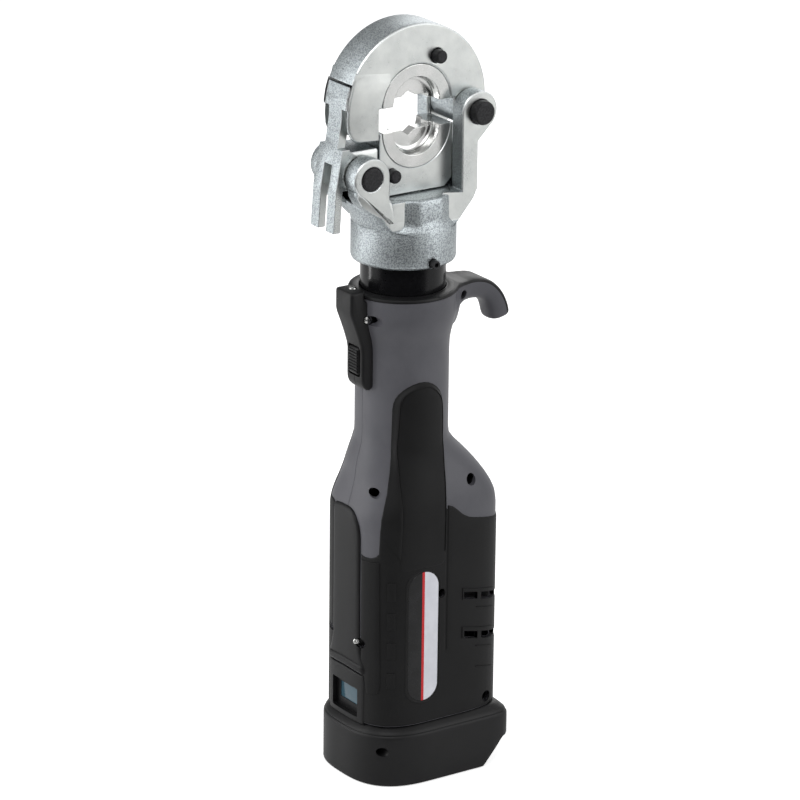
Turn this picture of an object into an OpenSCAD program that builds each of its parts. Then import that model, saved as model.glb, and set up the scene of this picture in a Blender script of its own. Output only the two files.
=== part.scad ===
// Battery hydraulic crimping tool with a flip-top head and changeable hexagon dies.
// Z runs up the tool, Y is the axis of the head's pins, the hook points to +X and the
// trigger and display look to -X. The origin is under the battery, on the cylinder's axis.

/* [Battery pack] */
// Height of the pack up to the seam under the housing
battery_h = 39; // [37:1:46]
// Reach of the pack in front of the axis
battery_front = 38; // [37:1:42]
// Reach of the pack behind the axis
battery_rear = 52.5; // [51:0.5:58]
// Half of the pack's width
battery_half_w = 36.5; // [36:0.5:42]
// Wall of the pack
battery_wall = 2; // [1.6:0.1:2]
// Diameter of one cell
cell_d = 18.3; // [16:0.1:18.4]
// Length of one cell
cell_len = 65; // [60:1:65]

/* [Housing] */
// Height of the straight lower body
body_len = 111; // [108:1:125]
// Reach of the lower body in front of the axis
body_front = 34.5; // [33.5:0.5:36]
// Reach of the lower body behind the axis
body_rear = 49.3; // [47:0.1:50.5]
// Half of the lower body's width
body_half_w = 33; // [32:0.5:35]
// Height of the shoulder between body and grip
shoulder_h = 43; // [40:1:55]
// Length of the round grip
grip_len = 45; // [42:1:60]
// How far the round grip stands out beyond the cylinder tube
grip_over = 2.3; // [2:0.1:5]
// Height of the flared top
flare_h = 34.8; // [33:0.1:42]
// How far the flared top stands out beyond the cylinder tube
flare_over = 6; // [5.5:0.1:9]
// Wall of the housing shells
wall = 2.6; // [2.2:0.1:2.8]
// Depth of the soft overmould in the shells
skin_t = 1.3; // [1:0.1:1.6]
// How far the soft overmould stands proud
skin_proud = 0.5; // [0.3:0.1:0.8]

/* [Hook and cap] */
// Thickness of the top cap
cap_t = 2.4; // [2:0.1:4]
// Outer radius of the hook
hook_outer_r = 22.8; // [21.5:0.1:25]
// Inner radius of the hook
hook_inner_r = 10.3; // [9:0.1:11]
// Half of the hook's width
hook_half_w = 9; // [7:0.5:11]

/* [Cylinder] */
// Outer diameter of the cylinder tube
tube_d = 46; // [45:0.5:46.5]
// Wall of the cylinder tube
tube_wall = 6.5; // [5:0.1:8]
// Length of bare tube between cap and head
tube_show = 15.4; // [12:0.1:30]
// Room for the return spring between rod and bore
spring_room = 5.5; // [5:0.1:7]

/* [Head] */
// Diameter of the collar
collar_d = 56.4; // [55:0.1:62]
// Height of the collar
collar_h = 22; // [20:0.5:26]
// Height of the faceted neck above the collar
neck_h = 15.8; // [14:0.1:20]
// Width over the outer faces of the ears
ear_w = 43.3; // [40:0.1:46]
// Radius of the ears' round ends
ear_r = 11; // [10:0.1:12]
// Diameter of both pins
pin_d = 13; // [10:0.5:14]
// Radius of the jaw's dome
jaw_r = 43.85; // [43:0.05:48]
// Thickness of the jaw and the ram
jaw_t = 22.4; // [20:0.1:22.4]
// Half of the ram's width
ram_half_w = 23.2; // [23:0.1:23.4]
// Travel of the ram
stroke = 12.8; // [8:0.1:13]

/* [Dies] */
// Outer radius of the dies
die_r = 21.2; // [18:0.1:21.4]
// Radius of the polished recess in the dies
recess_r = 14.6; // [13:0.1:16]
// Width of the crimp profile
crimp_w = 9; // [5:0.5:12]

/* [Hidden] */

$fn = 48;
// Overrun of every cut
over = 1;
// Thickness of the slices that a loft hangs on
slice_t = 0.01;
// Points on one ring of a loft
ring_n = 40;
// Gap between faces of one body that lie against each other
seat_gap = 0.1;
// Gap between bodies that pass each other
clear = 0.4;
// Radial clearance of a running fit
run_fit = 0.05;

// Round sizes that follow the cylinder tube
bore_d = tube_d - 2 * tube_wall;
rod_d = bore_d - 2 * spring_room;
grip_r = tube_d / 2 + grip_over;
flare_r = tube_d / 2 + flare_over;

// Heights along the tool
body_z0 = battery_h;
shoulder_z0 = body_z0 + body_len;
grip_z0 = shoulder_z0 + shoulder_h;
flare_z0 = grip_z0 + grip_len;
shell_top = flare_z0 + flare_h;
cap_top = shell_top + cap_t;
collar_z0 = cap_top + tube_show;
collar_z1 = collar_z0 + collar_h;
floor_z = collar_z1 + neck_h;

// Sizes of the head
slot_half = jaw_t / 2 + clear;
floor_gap = 0.7;
ram_z0 = floor_z + floor_gap;
latch_pin_up = 14.9;
latch_x = -34.3;
latch_z = floor_z + latch_pin_up;
hinge_pin_up = 41.8;
hinge_out = 10;
hinge_x = ram_half_w + hinge_out;
hinge_z = floor_z + hinge_pin_up;
knuckle_r = hinge_x - ram_half_w - clear;
die_up = 48.44;
die_z = floor_z + die_up;
die_gap = 0.44;
low_die_z = die_z - stroke - die_gap;
jaw_drop = 0.64;
jaw_z = die_z - jaw_drop;
jaw_gap_half = ram_half_w + clear;
leg_below_split = 15;
leg_z = die_z - leg_below_split;
leg_round = 8;
leg_side = 2;
die_seat_gap = 0.25;
die_seat_r = die_r + die_seat_gap;
arm_in = 22.4;
arm_out = 32.5;
web_x = ram_half_w + 2 * clear;
web_rise = 24;
web_top = floor_z + web_rise;
neck_facets = 12;
neck_in_r = 24;
neck_r = neck_in_r / cos(180 / neck_facets);
collar_edge = 1.2;
ram_chamfer = 5;
pin_edge = 0.8;
hinge_pin_proud = 5;
latch_pin_proud = 0.4;
button_r = 3.6;
button_proud = 5;
button_len = 12.4;
button_bore = 12.2;
upper_button_x = 12.5;
upper_button_up = 24.4;
lower_button_x = -15.6;
lower_button_up = 11.1;

// Sizes of the latch lever
lever_half_w = 11;
stem_half_w = 6.2;
tee_half_w = 9.8;
tee_low = 1.8;
tee_high = 14.2;
tee_z0 = die_z + tee_low;
tee_z1 = die_z + tee_high;
tee_t = 2.4;
stem_t = 4.9;
ledge_gap = 0.6;
fork_drop = 3.8;
fork_top = leg_z - fork_drop;
fork_gap = 0.9;
fork_z0 = collar_z1 + fork_gap;
fork_slot_half = 3.5;
fork_slot_up = 5.4;
fork_slot_top = latch_z + fork_slot_up;
lever_lean_x = -45.6;
lever_knee_x = -50.2;
lever_foot_x = -51.7;
lever_knee_drop = 7.3;
lever_knee_z = latch_z - lever_knee_drop;
prong_t = 4.3;
hub_r = 9;
hub_share = 0.8;

// Sizes of the cylinder, pump and drive
tube_up = 12;
tube_z0 = flare_z0 + tube_up;
tube_floor = 12;
tube_top = collar_z1 - clear;
groove_d = 1.2;
groove_h = 5.4;
screw_up = 3;
set_screw_r = 2.3;
set_screw_reach = 3.4;
socket_r = 1.3;
socket_deep = 2;
piston_t = 12;
piston_lift = 4;
piston_z0 = tube_z0 + tube_floor + piston_lift;
piston_z1 = piston_z0 + piston_t;
seal_h = 4;
seal_deep = 2;
spring_wire_r = 1.4;
spring_r = (bore_d + rod_d) / 4;
spring_turns = 5;
spring_steps = 14;
spring_sides = 6;
port_r = 3;
pump_flange_r = grip_r - wall - 2 * clear;
pump_flange_h = 5;
bladder_room = 7.9;
pump_core_r = pump_flange_r - bladder_room;
pump_up = 4;
pump_z0 = grip_z0 + pump_up;
bladder_r = pump_flange_r - clear;
plunger_r = 3.5;
plunger_boss_h = 14;
eccentric = 1.6;
cam_r = 6;
cam_h = 8;
shaft_r = 4;
bearing_t = 3.4;
gear_r = 19;
gear_h = 38;
gear_boss_share = 0.4;
motor_r = 17.8;
motor_h = 56;
motor_up = 30;
motor_z0 = body_z0 + motor_up;
motor_z1 = motor_z0 + motor_h;
motor_gap = 0.6;
gear_z0 = motor_z1 + motor_gap;
gear_z1 = gear_z0 + gear_h;
motor_shaft_r = 2.5;
motor_vent_n = 6;
rotor_share = 0.6;
plunger_z = pump_z0 - plunger_boss_h / 2;
plunger_x0 = cam_r + bearing_t + 2 * eccentric;

// Superellipse exponents of the lower body and the pack, 2 being a plain ellipse
body_front_n = 3;
body_rear_n = 4.5;
battery_front_n = 2.8;
battery_rear_n = 10;

// Shoulder profile: height, then how far front, rear and width still are from the grip
shoulder_shares = [
    [0, 1, 1, 1], [0.12, 0.93, 0.985, 0.95], [0.235, 0.79, 0.92, 0.86], [0.37, 0.61, 0.80, 0.675],
    [0.51, 0.47, 0.64, 0.455], [0.63, 0.40, 0.475, 0.26], [0.745, 0.29, 0.30, 0.117],
    [0.86, 0.14, 0.12, 0.026], [1, 0, 0, 0]
];
// Flare profile: height and how far the radius has gone to the top's
flare_shares = [[0, 0], [0.17, 0.04], [0.35, 0.27], [0.52, 0.68], [0.69, 0.94], [1, 1]];
// Pack profile: height, then inset as a share of the shoulder step
battery_step = 5;
battery_shares = [
    [0, 1.2], [0.02, 0.75], [0.06, 0.36], [0.12, 0.1], [0.18, 0], [0.5, 0], [0.77, 0],
    [0.86, 0.35], [0.93, 0.85], [1, 1]
];

// Sizes of the soft panel, turned towards the nose by an angle
panel_turn = 17.5;
panel_left_grip = -12.2;
panel_left_body = -20.8;
panel_right = 16.4;
panel_drop = 9.5;
panel_top = flare_z0 - panel_drop;
panel_round = 12;
panel_top_share = 1.6;
// Left edge over the shoulder: how far from body to grip, and height in the shoulder
panel_edge_shares = [[0.35, 0.3], [0.8, 0.6]];
tongue_drop = 18.4;
tongue_z = shoulder_z0 - tongue_drop;
// Wave behind the strip: place along it as a share of the strip's width, height as a share of the wave
rear_line_drop = 8;
rear_line_z = shoulder_z0 - rear_line_drop;
wave_h = 14;
wave_shares = [[0.42, 0.19], [0.3, 0.37], [0.16, 0.8]];
seam_w = 0.8;
seam_low_share = 0.33;
seam_high_share = 0.2;

// Sizes of the nose cover and the display
nose_half_w = 12;
nose_in = 24;
nose_rise = 4;
nose_top = shoulder_z0 + nose_rise;
nose_drop = 9;
display_h = 24;
display_top = body_z0 + display_h;
display_half_w = 13.5;
frame_proud = 0.9;
lens_half_w = 9;
lens_h = 14;
lens_up = 5;
lens_t = 1.2;
bezel_t = 3.4;
screen_t = 1.5;
screen_edge = 1;
board_t = 1.6;
board_half_w = 12;
board_h = 46;
chip_shares = [0.5, 0.7, 0.85];
chip_h = 4.6;

// Sizes of the hook, the cap and the strip over the hook
hook_reach = 12;
hook_x = flare_r + hook_reach;
hook_top_drop = 0.5;
hook_z = shell_top - hook_top_drop - hook_outer_r;
hook_inner_dx = -1;
hook_inner_dz = 0.5;
hook_tip_up = -2.5;
strip_t = 2.4;

// Sizes of the switch and its cover
cover_half_w = 7.6;
cover_top_reach = 9.4;
cover_low_reach = 1.6;
cover_top_x = flare_r + cover_top_reach;
cover_low_x = flare_r + cover_low_reach;
cover_drop = 16.5;
cover_z0 = flare_z0 - cover_drop;
cover_rise = 2.6;
trigger_half_w = 5.4;
trigger_h = 16.5;
trigger_up = 8;
trigger_z0 = cover_z0 + trigger_up;
trigger_z1 = trigger_z0 + trigger_h;
trigger_deep = 9;
trigger_proud = 0.6;
trigger_x = cover_low_x + trigger_proud;
trigger_travel = 3;
rib_n = 7;
rib_r = 0.7;
switch_t = 3;
switch_x0 = trigger_deep + trigger_travel + clear - trigger_x;
switch_x1 = switch_x0 + switch_t;

// Screws through the shells
screw_r = 3.2;
small_screw_r = 2.6;
head_gap = 0.3;
head_t = 2.2;
shank_r = 1.45;
column_wall = 1.6;
column_seat = 11;
column_shank = 17;
nose_seat = 9.5;
nose_shank = 15;
side_seat = body_half_w - 7 * seat_gap - 2 * wall;
side_shank = 6;
side_column = 2 * wall;
hook_shank = 8;
// Places in X and Z as shares of the body's reach and of the height of shoulder or body
rear_screw_share = [0.53, 0.42];
nose_screw_share = [-0.77, 0.49];
side_screw_share = [0.14, 0.62];
foot_screw_share = 0.75;
foot_screw_up = 6.4;
hook_screw_dx = -8.3;
hook_screw_drop = 8.4;
// One row a screw: X, Z, radius of the sunk hole, seat from the split, column end from the split, shank
screw_spots = [
    [body_rear * rear_screw_share[0], shoulder_z0 + shoulder_h * rear_screw_share[1], screw_r,
     column_seat, 0, column_shank],
    [body_front * nose_screw_share[0], shoulder_z0 + shoulder_h * nose_screw_share[1], small_screw_r,
     nose_seat, 0, nose_shank],
    [body_front * side_screw_share[0], body_z0 + body_len * side_screw_share[1], small_screw_r,
     side_seat, side_seat - side_column, side_shank],
    [body_rear * foot_screw_share, body_z0 + foot_screw_up, screw_r, column_seat, 0, column_shank],
    [hook_x + hook_screw_dx, shell_top - hook_screw_drop, small_screw_r, hook_half_w / 2, 0, hook_shank]
];
// Screws of the nose cover and of the switch cover, along Y on both sides
seam_hole_r = 2.1;
seam_head_r = 1.8;
seam_head_t = 1.4;
seam_pin_r = 0.9;
seam_pin_len = 4;
nose_seam_x = 3;
nose_seam_up = 42;
nose_seam_seat = 10.5;
cover_seam_x = 1.4;
cover_seam_drop = 11.3;
cover_seam_seat = cover_half_w + seat_gap;
top_screw_out = 3.6;
top_screw_x = flare_r + top_screw_out;
top_screw_r = 2.4;
top_screw_h = 1.6;
// One row a screw: X, Z and the distance of its seat from the split
seam_spots = [
    [nose_seam_x - body_front, body_z0 + nose_seam_up, nose_seam_seat],
    [cover_seam_x - flare_r, shell_top - cover_seam_drop, cover_seam_seat]
];
// Ribs that hold motor and gearbox, as a share of their lengths
motor_rib_share = 0.66;
gear_rib_share = 0.6;

// Vents and label on the side
vent_h = 4.4;
vent_x0 = 19;
vent_w = 9;
vent_gap = 2.2;
vent_shares = [0.37, 0.565];
label_w = 18.7;
label_len = 74.6;
label_x = -6.5;
label_up = 8.7;
label_sunk = 0.1;

// Sizes of the pack's inside, its tower and its release
pack_top = battery_h - clear;
lid_share = 0.86;
cell_n = 3;
cell_row_share = 0.27;
tower_front = 22;
tower_rear = 24;
tower_half_w = 20;
tower_h = 9;
notch_x = 30;
notch_up = 14;
release_half_w = 11;
release_h = 6;
release_t = 2;
release_deep = 6;
release_travel = 2.5;
pack_hole_r = 2.6;
pack_hole_x = 29.6;
pack_hole_up = 23;
pack_hole_seat = 20;
blade_t = 1;
blade_n = 4;
blade_share = 0.4;

function toward(a, b, share) = a + (b - a) * share;
function power(v, e) = sign(v) * pow(abs(v), e);
// A ring of points: a superellipse with its own reach and exponent in front and behind.
// station = [z, front, rear, half width, front exponent, rear exponent]
function ring(station, grow) = [
    for (i = [0 : ring_n - 1])
        let (
            a = 360 * i / ring_n,
            behind = cos(a) > 0,
            reach = (behind ? station[2] : station[1]) + grow,
            e = 2 / (behind ? station[5] : station[4])
        )
        [reach * power(cos(a), e), (station[3] + grow) * power(sin(a), e)]
];
function housing_stations() = concat(
    [[body_z0, body_front, body_rear, body_half_w, body_front_n, body_rear_n]],
    [for (s = shoulder_shares) [
        shoulder_z0 + s[0] * shoulder_h, toward(grip_r, body_front, s[1]),
        toward(grip_r, body_rear, s[2]), toward(grip_r, body_half_w, s[3]),
        toward(2, body_front_n, s[1]), toward(2, body_rear_n, s[2])
    ]],
    [for (s = flare_shares)
        let (r = toward(grip_r, flare_r, s[1]))
        [flare_z0 + s[0] * flare_h, r, r, r, 2, 2]]
);
function battery_stations(z_share0, z_share1) = [
    for (s = battery_shares)
        if (s[0] >= z_share0 && s[0] <= z_share1)
            let (d = s[1] * battery_step)
            [s[0] * pack_top, battery_front - d, battery_rear - d, battery_half_w - d,
             battery_front_n, battery_rear_n]
];

// A solid through a list of stations, each grown sideways by the same amount
module loft(stations, grow = 0) {
    module slice(s) translate([0, 0, s[0]]) linear_extrude(slice_t) polygon(ring(s, grow));
    for (i = [0 : len(stations) - 2]) hull() {
        slice(stations[i]);
        slice(stations[i + 1]);
    }
}
// The housing's outer form, grown or shrunk
module housing_form(grow = 0) loft(housing_stations(), grow);
// A profile drawn in X and Z, spread evenly over Y
module across(depth) rotate([90, 0, 0]) translate([0, 0, -depth / 2]) linear_extrude(depth) children();
// A round bar along Y from y0 to y1
module y_bar(x, z, r, y0, y1) translate([x, y1, z]) rotate([90, 0, 0]) cylinder(r = r, h = y1 - y0);
// A bar along Y with a chamfered front end
module y_pin(x, z, r, y0, y1) {
    y_bar(x, z, r, y0 + pin_edge, y1);
    translate([x, y0 + pin_edge, z]) rotate([90, 0, 0]) cylinder(r1 = r, r2 = r - pin_edge, h = pin_edge);
}
// A box given by its two corners
module block(low, high) translate(low) cube(high - low);

// HEAD

// Right arm, left ears and the web under them, seen from the front
module yoke_plate_2d() {
    arm_blend = 16;
    boss_angle = -38;
    heel = 5;
    heel_in = 2.4;
    foot_x = 20;
    translate([hinge_x, hinge_z]) circle(ear_r);
    polygon([
        [foot_x, collar_z1 - over], [arm_out - heel_in, floor_z - heel], [arm_out, floor_z],
        [arm_out, hinge_z - arm_blend],
        [hinge_x + ear_r * cos(boss_angle), hinge_z + ear_r * sin(boss_angle)],
        [hinge_x, hinge_z], [hinge_x - ear_r, hinge_z], [arm_in, floor_z], [-arm_in, floor_z],
        [-foot_x, collar_z1 - over]
    ]);
    translate([latch_x, latch_z]) circle(ear_r);
    ear_tilt = 215;
    tail_x = -26;
    tail_up = 7;
    polygon([
        [latch_x, latch_z], [latch_x + ear_r * cos(ear_tilt), latch_z + ear_r * sin(ear_tilt)],
        [tail_x, collar_z1 + tail_up], [2 * over - foot_x, collar_z1 - over], [latch_x + ear_r, floor_z],
        [latch_x + ear_r, latch_z]
    ]);
}
module yoke() color("silver") difference() {
    union() {
        rotate_extrude() polygon([
            [0, collar_z0], [collar_d / 2 - collar_edge, collar_z0],
            [collar_d / 2, collar_z0 + collar_edge], [collar_d / 2, collar_z1 - collar_edge],
            [collar_d / 2 - 2 * collar_edge, collar_z1], [0, collar_z1]
        ]);
        translate([0, 0, collar_z0 + over]) rotate([0, 0, 180 / neck_facets])
            cylinder(r = neck_r, h = floor_z - collar_z0 - over, $fn = neck_facets);
        difference() {
            across(ear_w) yoke_plate_2d();
            block([-jaw_r - hub_r, -slot_half, collar_z0], [web_x, slot_half, hinge_z + 2 * ear_r]);
            block([web_x, -slot_half, web_top], [jaw_r + hub_r, slot_half, hinge_z + 2 * ear_r]);
        }
    }
    translate([0, 0, collar_z0 - over]) cylinder(d = tube_d + 2 * run_fit, h = collar_h + over);
    cylinder(d = rod_d + 2 * run_fit, h = floor_z + over);
    y_bar(hinge_x, hinge_z, pin_d / 2, -ear_w, ear_w);
    y_bar(latch_x, latch_z, pin_d / 2, -ear_w, ear_w);
    y_bar(0, collar_z0 + screw_up, set_screw_r, -collar_d, 0);
}
module hinge_pin() color("dimgray")
    y_pin(hinge_x, hinge_z, pin_d / 2, -ear_w / 2 - hinge_pin_proud, ear_w / 2 + latch_pin_proud);
module latch_pin() color("dimgray")
    y_pin(latch_x, latch_z, pin_d / 2, -ear_w / 2 - latch_pin_proud, ear_w / 2 + latch_pin_proud);
module collar_set_screw() color("dimgray") difference() {
    y_bar(0, collar_z0 + screw_up, set_screw_r, -collar_d / 2 - set_screw_reach, -tube_d / 2 + groove_d / 2);
    translate([0, -collar_d / 2 - set_screw_reach + socket_deep, collar_z0 + screw_up])
        rotate([90, 0, 0]) cylinder(r = socket_r, h = socket_deep + over, $fn = 6);
}

// Dome, leg and knuckle of the jaw, seen from the front
module jaw_2d() {
    difference() {
        intersection() {
            translate([0, jaw_z]) circle(jaw_r);
            translate([-2 * jaw_r, leg_z]) square([2 * jaw_r, 2 * jaw_r]);
        }
        // Rounded lower corner of the leg
        difference() {
            translate([-2 * jaw_r, leg_z - over]) square([jaw_r + leg_round + leg_side, leg_round + over]);
            translate([-jaw_r + leg_round + leg_side, leg_z + leg_round]) circle(leg_round);
        }
        translate([-jaw_gap_half, leg_z - over]) square([jaw_gap_half + over, leg_below_split + over]);
        translate([0, die_z]) circle(die_seat_r);
    }
    difference() {
        intersection() {
            translate([0, jaw_z]) circle(jaw_r);
            translate([-slice_t, hinge_z]) square([2 * jaw_r, 2 * jaw_r]);
        }
        translate([-over, leg_z - over]) square([jaw_gap_half + over, leg_below_split + over]);
        translate([0, die_z]) circle(die_seat_r);
    }
    translate([hinge_x, hinge_z]) circle(knuckle_r);
}
// The space outside a rim that is cut back by a depth, on the latch side
module rim_cut(depth, half_w, z0, z1) intersection() {
    difference() {
        y_bar(0, jaw_z, jaw_r + hub_r, -half_w, half_w);
        y_bar(0, jaw_z, jaw_r - depth, -half_w - over, half_w + over);
    }
    block([-2 * jaw_r, -half_w, z0], [0, half_w, z1]);
}
module upper_jaw() color("gainsboro") difference() {
    across(jaw_t) jaw_2d();
    y_bar(hinge_x, hinge_z, pin_d / 2 + run_fit, -jaw_t, jaw_t);
    y_bar(upper_button_x, die_z + upper_button_up, button_r + run_fit, -jaw_t, -jaw_t / 2 + button_bore);
    rim_cut(stem_t + 2 * ledge_gap, stem_half_w + clear, leg_z - over, tee_z1 + clear);
    rim_cut(tee_t + ledge_gap, tee_half_w + clear, tee_z0 - clear, tee_z1 + clear);
    rim_cut(tee_t + ledge_gap, jaw_t, leg_z + leg_round / 2, tee_z0 - clear);
}
// Half of a die: a stepped ring with a web that carries the crimp profile
module half_die() {
    face_y = jaw_t / 2 - 2 * seat_gap;
    web_y = 3.2;
    relief_half_w = 12.4;
    relief_h = 2.3;
    point_h = 3.2;
    difference() {
        rotate([90, 0, 0]) rotate_extrude(angle = 180) {
            translate([recess_r, -face_y]) square([die_r - recess_r, 2 * face_y]);
            difference() {
                translate([0, -face_y]) square([recess_r + slice_t, 2 * face_y]);
                for (side = [-1, 1]) {
                    translate([0, side > 0 ? web_y : -face_y - over])
                        square([recess_r - web_y, face_y - web_y + over]);
                    translate([0, side > 0 ? 2 * web_y : -face_y - over])
                        square([recess_r, face_y - 2 * web_y + over]);
                    translate([recess_r - web_y, side * 2 * web_y]) circle(web_y);
                }
            }
        }
        translate([-relief_half_w, -jaw_t, -over]) cube([2 * relief_half_w, 2 * jaw_t, relief_h + over]);
        across(2 * jaw_t) polygon([
            [-crimp_w / 2, 0], [-crimp_w / 2, relief_h], [0, relief_h + point_h],
            [crimp_w / 2, relief_h], [crimp_w / 2, 0]
        ]);
    }
}
module upper_die() color("lightgray") translate([0, 0, die_z + seat_gap]) half_die();
module lower_die() color("lightgray") translate([0, 0, low_die_z]) mirror([0, 0, 1]) half_die();
module upper_die_button() color("dimgray")
    y_pin(upper_button_x, die_z + upper_button_up, button_r, -jaw_t / 2 - button_proud,
          -jaw_t / 2 - button_proud + button_len);
module lower_die_button() color("dimgray")
    y_pin(lower_button_x, ram_z0 + lower_button_up, button_r, -jaw_t / 2 - button_proud,
          -jaw_t / 2 - button_proud + button_len);
module ram() color("gainsboro") difference() {
    union() {
        across(jaw_t) polygon([
            [-ram_half_w + ram_chamfer, ram_z0], [ram_half_w - ram_chamfer, ram_z0],
            [ram_half_w, ram_z0 + ram_chamfer], [ram_half_w, low_die_z - seat_gap],
            [-ram_half_w, low_die_z - seat_gap], [-ram_half_w, ram_z0 + ram_chamfer]
        ]);
        translate([0, 0, piston_z1]) cylinder(d = rod_d, h = ram_z0 - piston_z1 + over);
    }
    y_bar(0, low_die_z, die_seat_r, -jaw_t, jaw_t);
    y_bar(lower_button_x, ram_z0 + lower_button_up, button_r + run_fit, -jaw_t, -jaw_t / 2 + button_bore);
}
module piston() color("darkgray") difference() {
    translate([0, 0, piston_z0]) cylinder(d = bore_d - 2 * run_fit, h = piston_t);
    translate([0, 0, piston_z0 + (piston_t - seal_h) / 2]) difference() {
        cylinder(d = bore_d, h = seal_h);
        translate([0, 0, -over]) cylinder(d = bore_d - 2 * seal_deep, h = seal_h + 2 * over);
    }
}
module piston_seal() color("darkslategray")
    translate([0, 0, piston_z0 + (piston_t - seal_h) / 2 + seat_gap / 2]) difference() {
        cylinder(d = bore_d - 2 * run_fit, h = seal_h - seat_gap);
        translate([0, 0, -over]) cylinder(d = bore_d - 2 * seal_deep + seat_gap, h = seal_h + 2 * over);
    }
// A coil spring: one tube swept along a helix with flat ends closed by caps
module coil(r, wire_r, z0, z1, turns) {
    rings = turns * spring_steps;
    points = [
        for (i = [0 : rings])
            let (a = 360 * i / spring_steps, z = toward(z0 + wire_r, z1 - wire_r, i / rings))
            for (j = [0 : spring_sides - 1]) let (b = 360 * j / spring_sides, d = r + wire_r * cos(b))
                [d * cos(a), d * sin(a), z + wire_r * sin(b)]
    ];
    n = spring_sides;
    faces = concat(
        [[for (j = [0 : n - 1]) j]],
        [for (i = [0 : rings - 1]) for (j = [0 : n - 1])
            [i * n + j, (i + 1) * n + j, (i + 1) * n + (j + 1) % n]],
        [for (i = [0 : rings - 1]) for (j = [0 : n - 1])
            [i * n + j, (i + 1) * n + (j + 1) % n, i * n + (j + 1) % n]],
        [[for (j = [0 : n - 1]) rings * n + n - 1 - j]]
    );
    polyhedron(points, faces);
}
module return_spring() color("slategray")
    coil(spring_r, spring_wire_r, piston_z1 + seat_gap, collar_z1 - seat_gap, spring_turns);

// Side view of the latch lever, from the tee in the jaw's rim down to the prongs
module lever_2d(inset) {
    rim_z = [tee_z1, (tee_z0 + tee_z1) / 2, tee_z0, jaw_z - tee_t];
    rim = [for (z = rim_z) [-sqrt(pow(jaw_r, 2) - pow(z - jaw_z, 2)), z]];
    polygon(concat(
        rim,
        [[lever_lean_x, leg_z], [lever_knee_x, lever_knee_z], [lever_foot_x, fork_z0]],
        [[lever_foot_x + prong_t, fork_z0], [lever_knee_x + prong_t, lever_knee_z],
         [lever_lean_x + inset, leg_z]],
        [for (i = [len(rim) - 1 : -1 : 0]) rim[i] + [inset, 0]]
    ));
}
module latch_lever() color("silver") difference() {
    union() {
        intersection() {
            across(2 * stem_half_w) lever_2d(stem_t);
            block([-2 * jaw_r, -stem_half_w, fork_top - over], [0, stem_half_w, tee_z1]);
        }
        intersection() {
            across(2 * tee_half_w) lever_2d(tee_t);
            block([-2 * jaw_r, -tee_half_w, tee_z0], [0, tee_half_w, tee_z1]);
        }
        intersection() {
            across(2 * lever_half_w) {
                lever_2d(stem_t);
                polygon([
                    [latch_x, latch_z + hub_r], [lever_lean_x + stem_t / 2, fork_top],
                    [lever_knee_x + prong_t / 2, lever_knee_z],
                    [latch_x - hub_r / 2, latch_z - hub_r * hub_share],
                    [latch_x, latch_z]
                ]);
            }
            block([-2 * jaw_r, -lever_half_w, fork_z0], [0, lever_half_w, fork_top]);
        }
        y_bar(latch_x, latch_z, hub_r, -lever_half_w, lever_half_w);
    }
    block([-2 * jaw_r, -fork_slot_half, fork_z0 - over],
          [latch_x - hub_r - clear, fork_slot_half, fork_slot_top]);
    y_bar(latch_x, latch_z, pin_d / 2 + run_fit, -ear_w, ear_w);
}

// CYLINDER, PUMP AND DRIVE

module cylinder_tube() color("black") difference() {
    translate([0, 0, tube_z0]) cylinder(d = tube_d, h = tube_top - tube_z0);
    translate([0, 0, tube_z0 + tube_floor]) cylinder(d = bore_d, h = tube_top);
    translate([0, 0, tube_z0 - over]) cylinder(r = port_r, h = tube_floor + 2 * over);
    translate([0, 0, collar_z0 + screw_up - groove_h / 2]) difference() {
        cylinder(d = tube_d + over, h = groove_h);
        translate([0, 0, -over]) cylinder(d = tube_d - 2 * groove_d, h = groove_h + 2 * over);
    }
}
module pump_block() color("slategray") difference() {
    union() {
        translate([0, 0, tube_z0 - pump_flange_h]) cylinder(r = pump_flange_r, h = pump_flange_h - seat_gap);
        translate([0, 0, pump_z0]) cylinder(r = pump_core_r, h = tube_z0 - pump_z0 - over);
        translate([0, 0, pump_z0]) cylinder(r = pump_flange_r, h = pump_flange_h);
        intersection() {
            translate([0, 0, pump_z0 - plunger_boss_h])
                cylinder(r = pump_flange_r, h = plunger_boss_h + over);
            block([plunger_x0 + clear, -plunger_boss_h / 2, pump_z0 - plunger_boss_h],
                  [pump_flange_r, plunger_boss_h / 2, pump_z0 + over]);
        }
    }
    translate([0, 0, pump_z0 + pump_flange_h]) cylinder(r = port_r, h = tube_z0);
    translate([0, 0, plunger_z]) rotate([0, 90, 0])
        cylinder(r = plunger_r + run_fit, h = pump_flange_r - wall);
    translate([0, 0, pump_z0 - over]) cylinder(r = shaft_r + clear, h = pump_flange_h);
    switch_room();
}
// Flat on the pump that leaves room for the switch
module switch_room()
    block([-2 * flare_r, -flare_r, trigger_z0 - wall], [switch_x1 + seat_gap, flare_r, shell_top]);
module oil_bladder() color("saddlebrown") difference() {
    translate([0, 0, pump_z0 + pump_flange_h + seat_gap])
        cylinder(r = bladder_r, h = tube_z0 - pump_z0 - 2 * pump_flange_h - 2 * seat_gap);
    cylinder(r = pump_core_r + seat_gap, h = shell_top);
    switch_room();
}
module pump_plunger() color("lightsteelblue") translate([plunger_x0 + clear / 2, 0, plunger_z])
    rotate([0, 90, 0]) cylinder(r = plunger_r, h = pump_flange_r - wall - plunger_x0 - clear);
module eccentric_shaft() color("lightsteelblue") {
    translate([0, 0, gear_z1 + clear])
        cylinder(r = shaft_r, h = pump_z0 - gear_z1 - clear + pump_flange_h / 2);
    translate([eccentric, 0, plunger_z - cam_h / 2]) cylinder(r = cam_r, h = cam_h);
}
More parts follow.
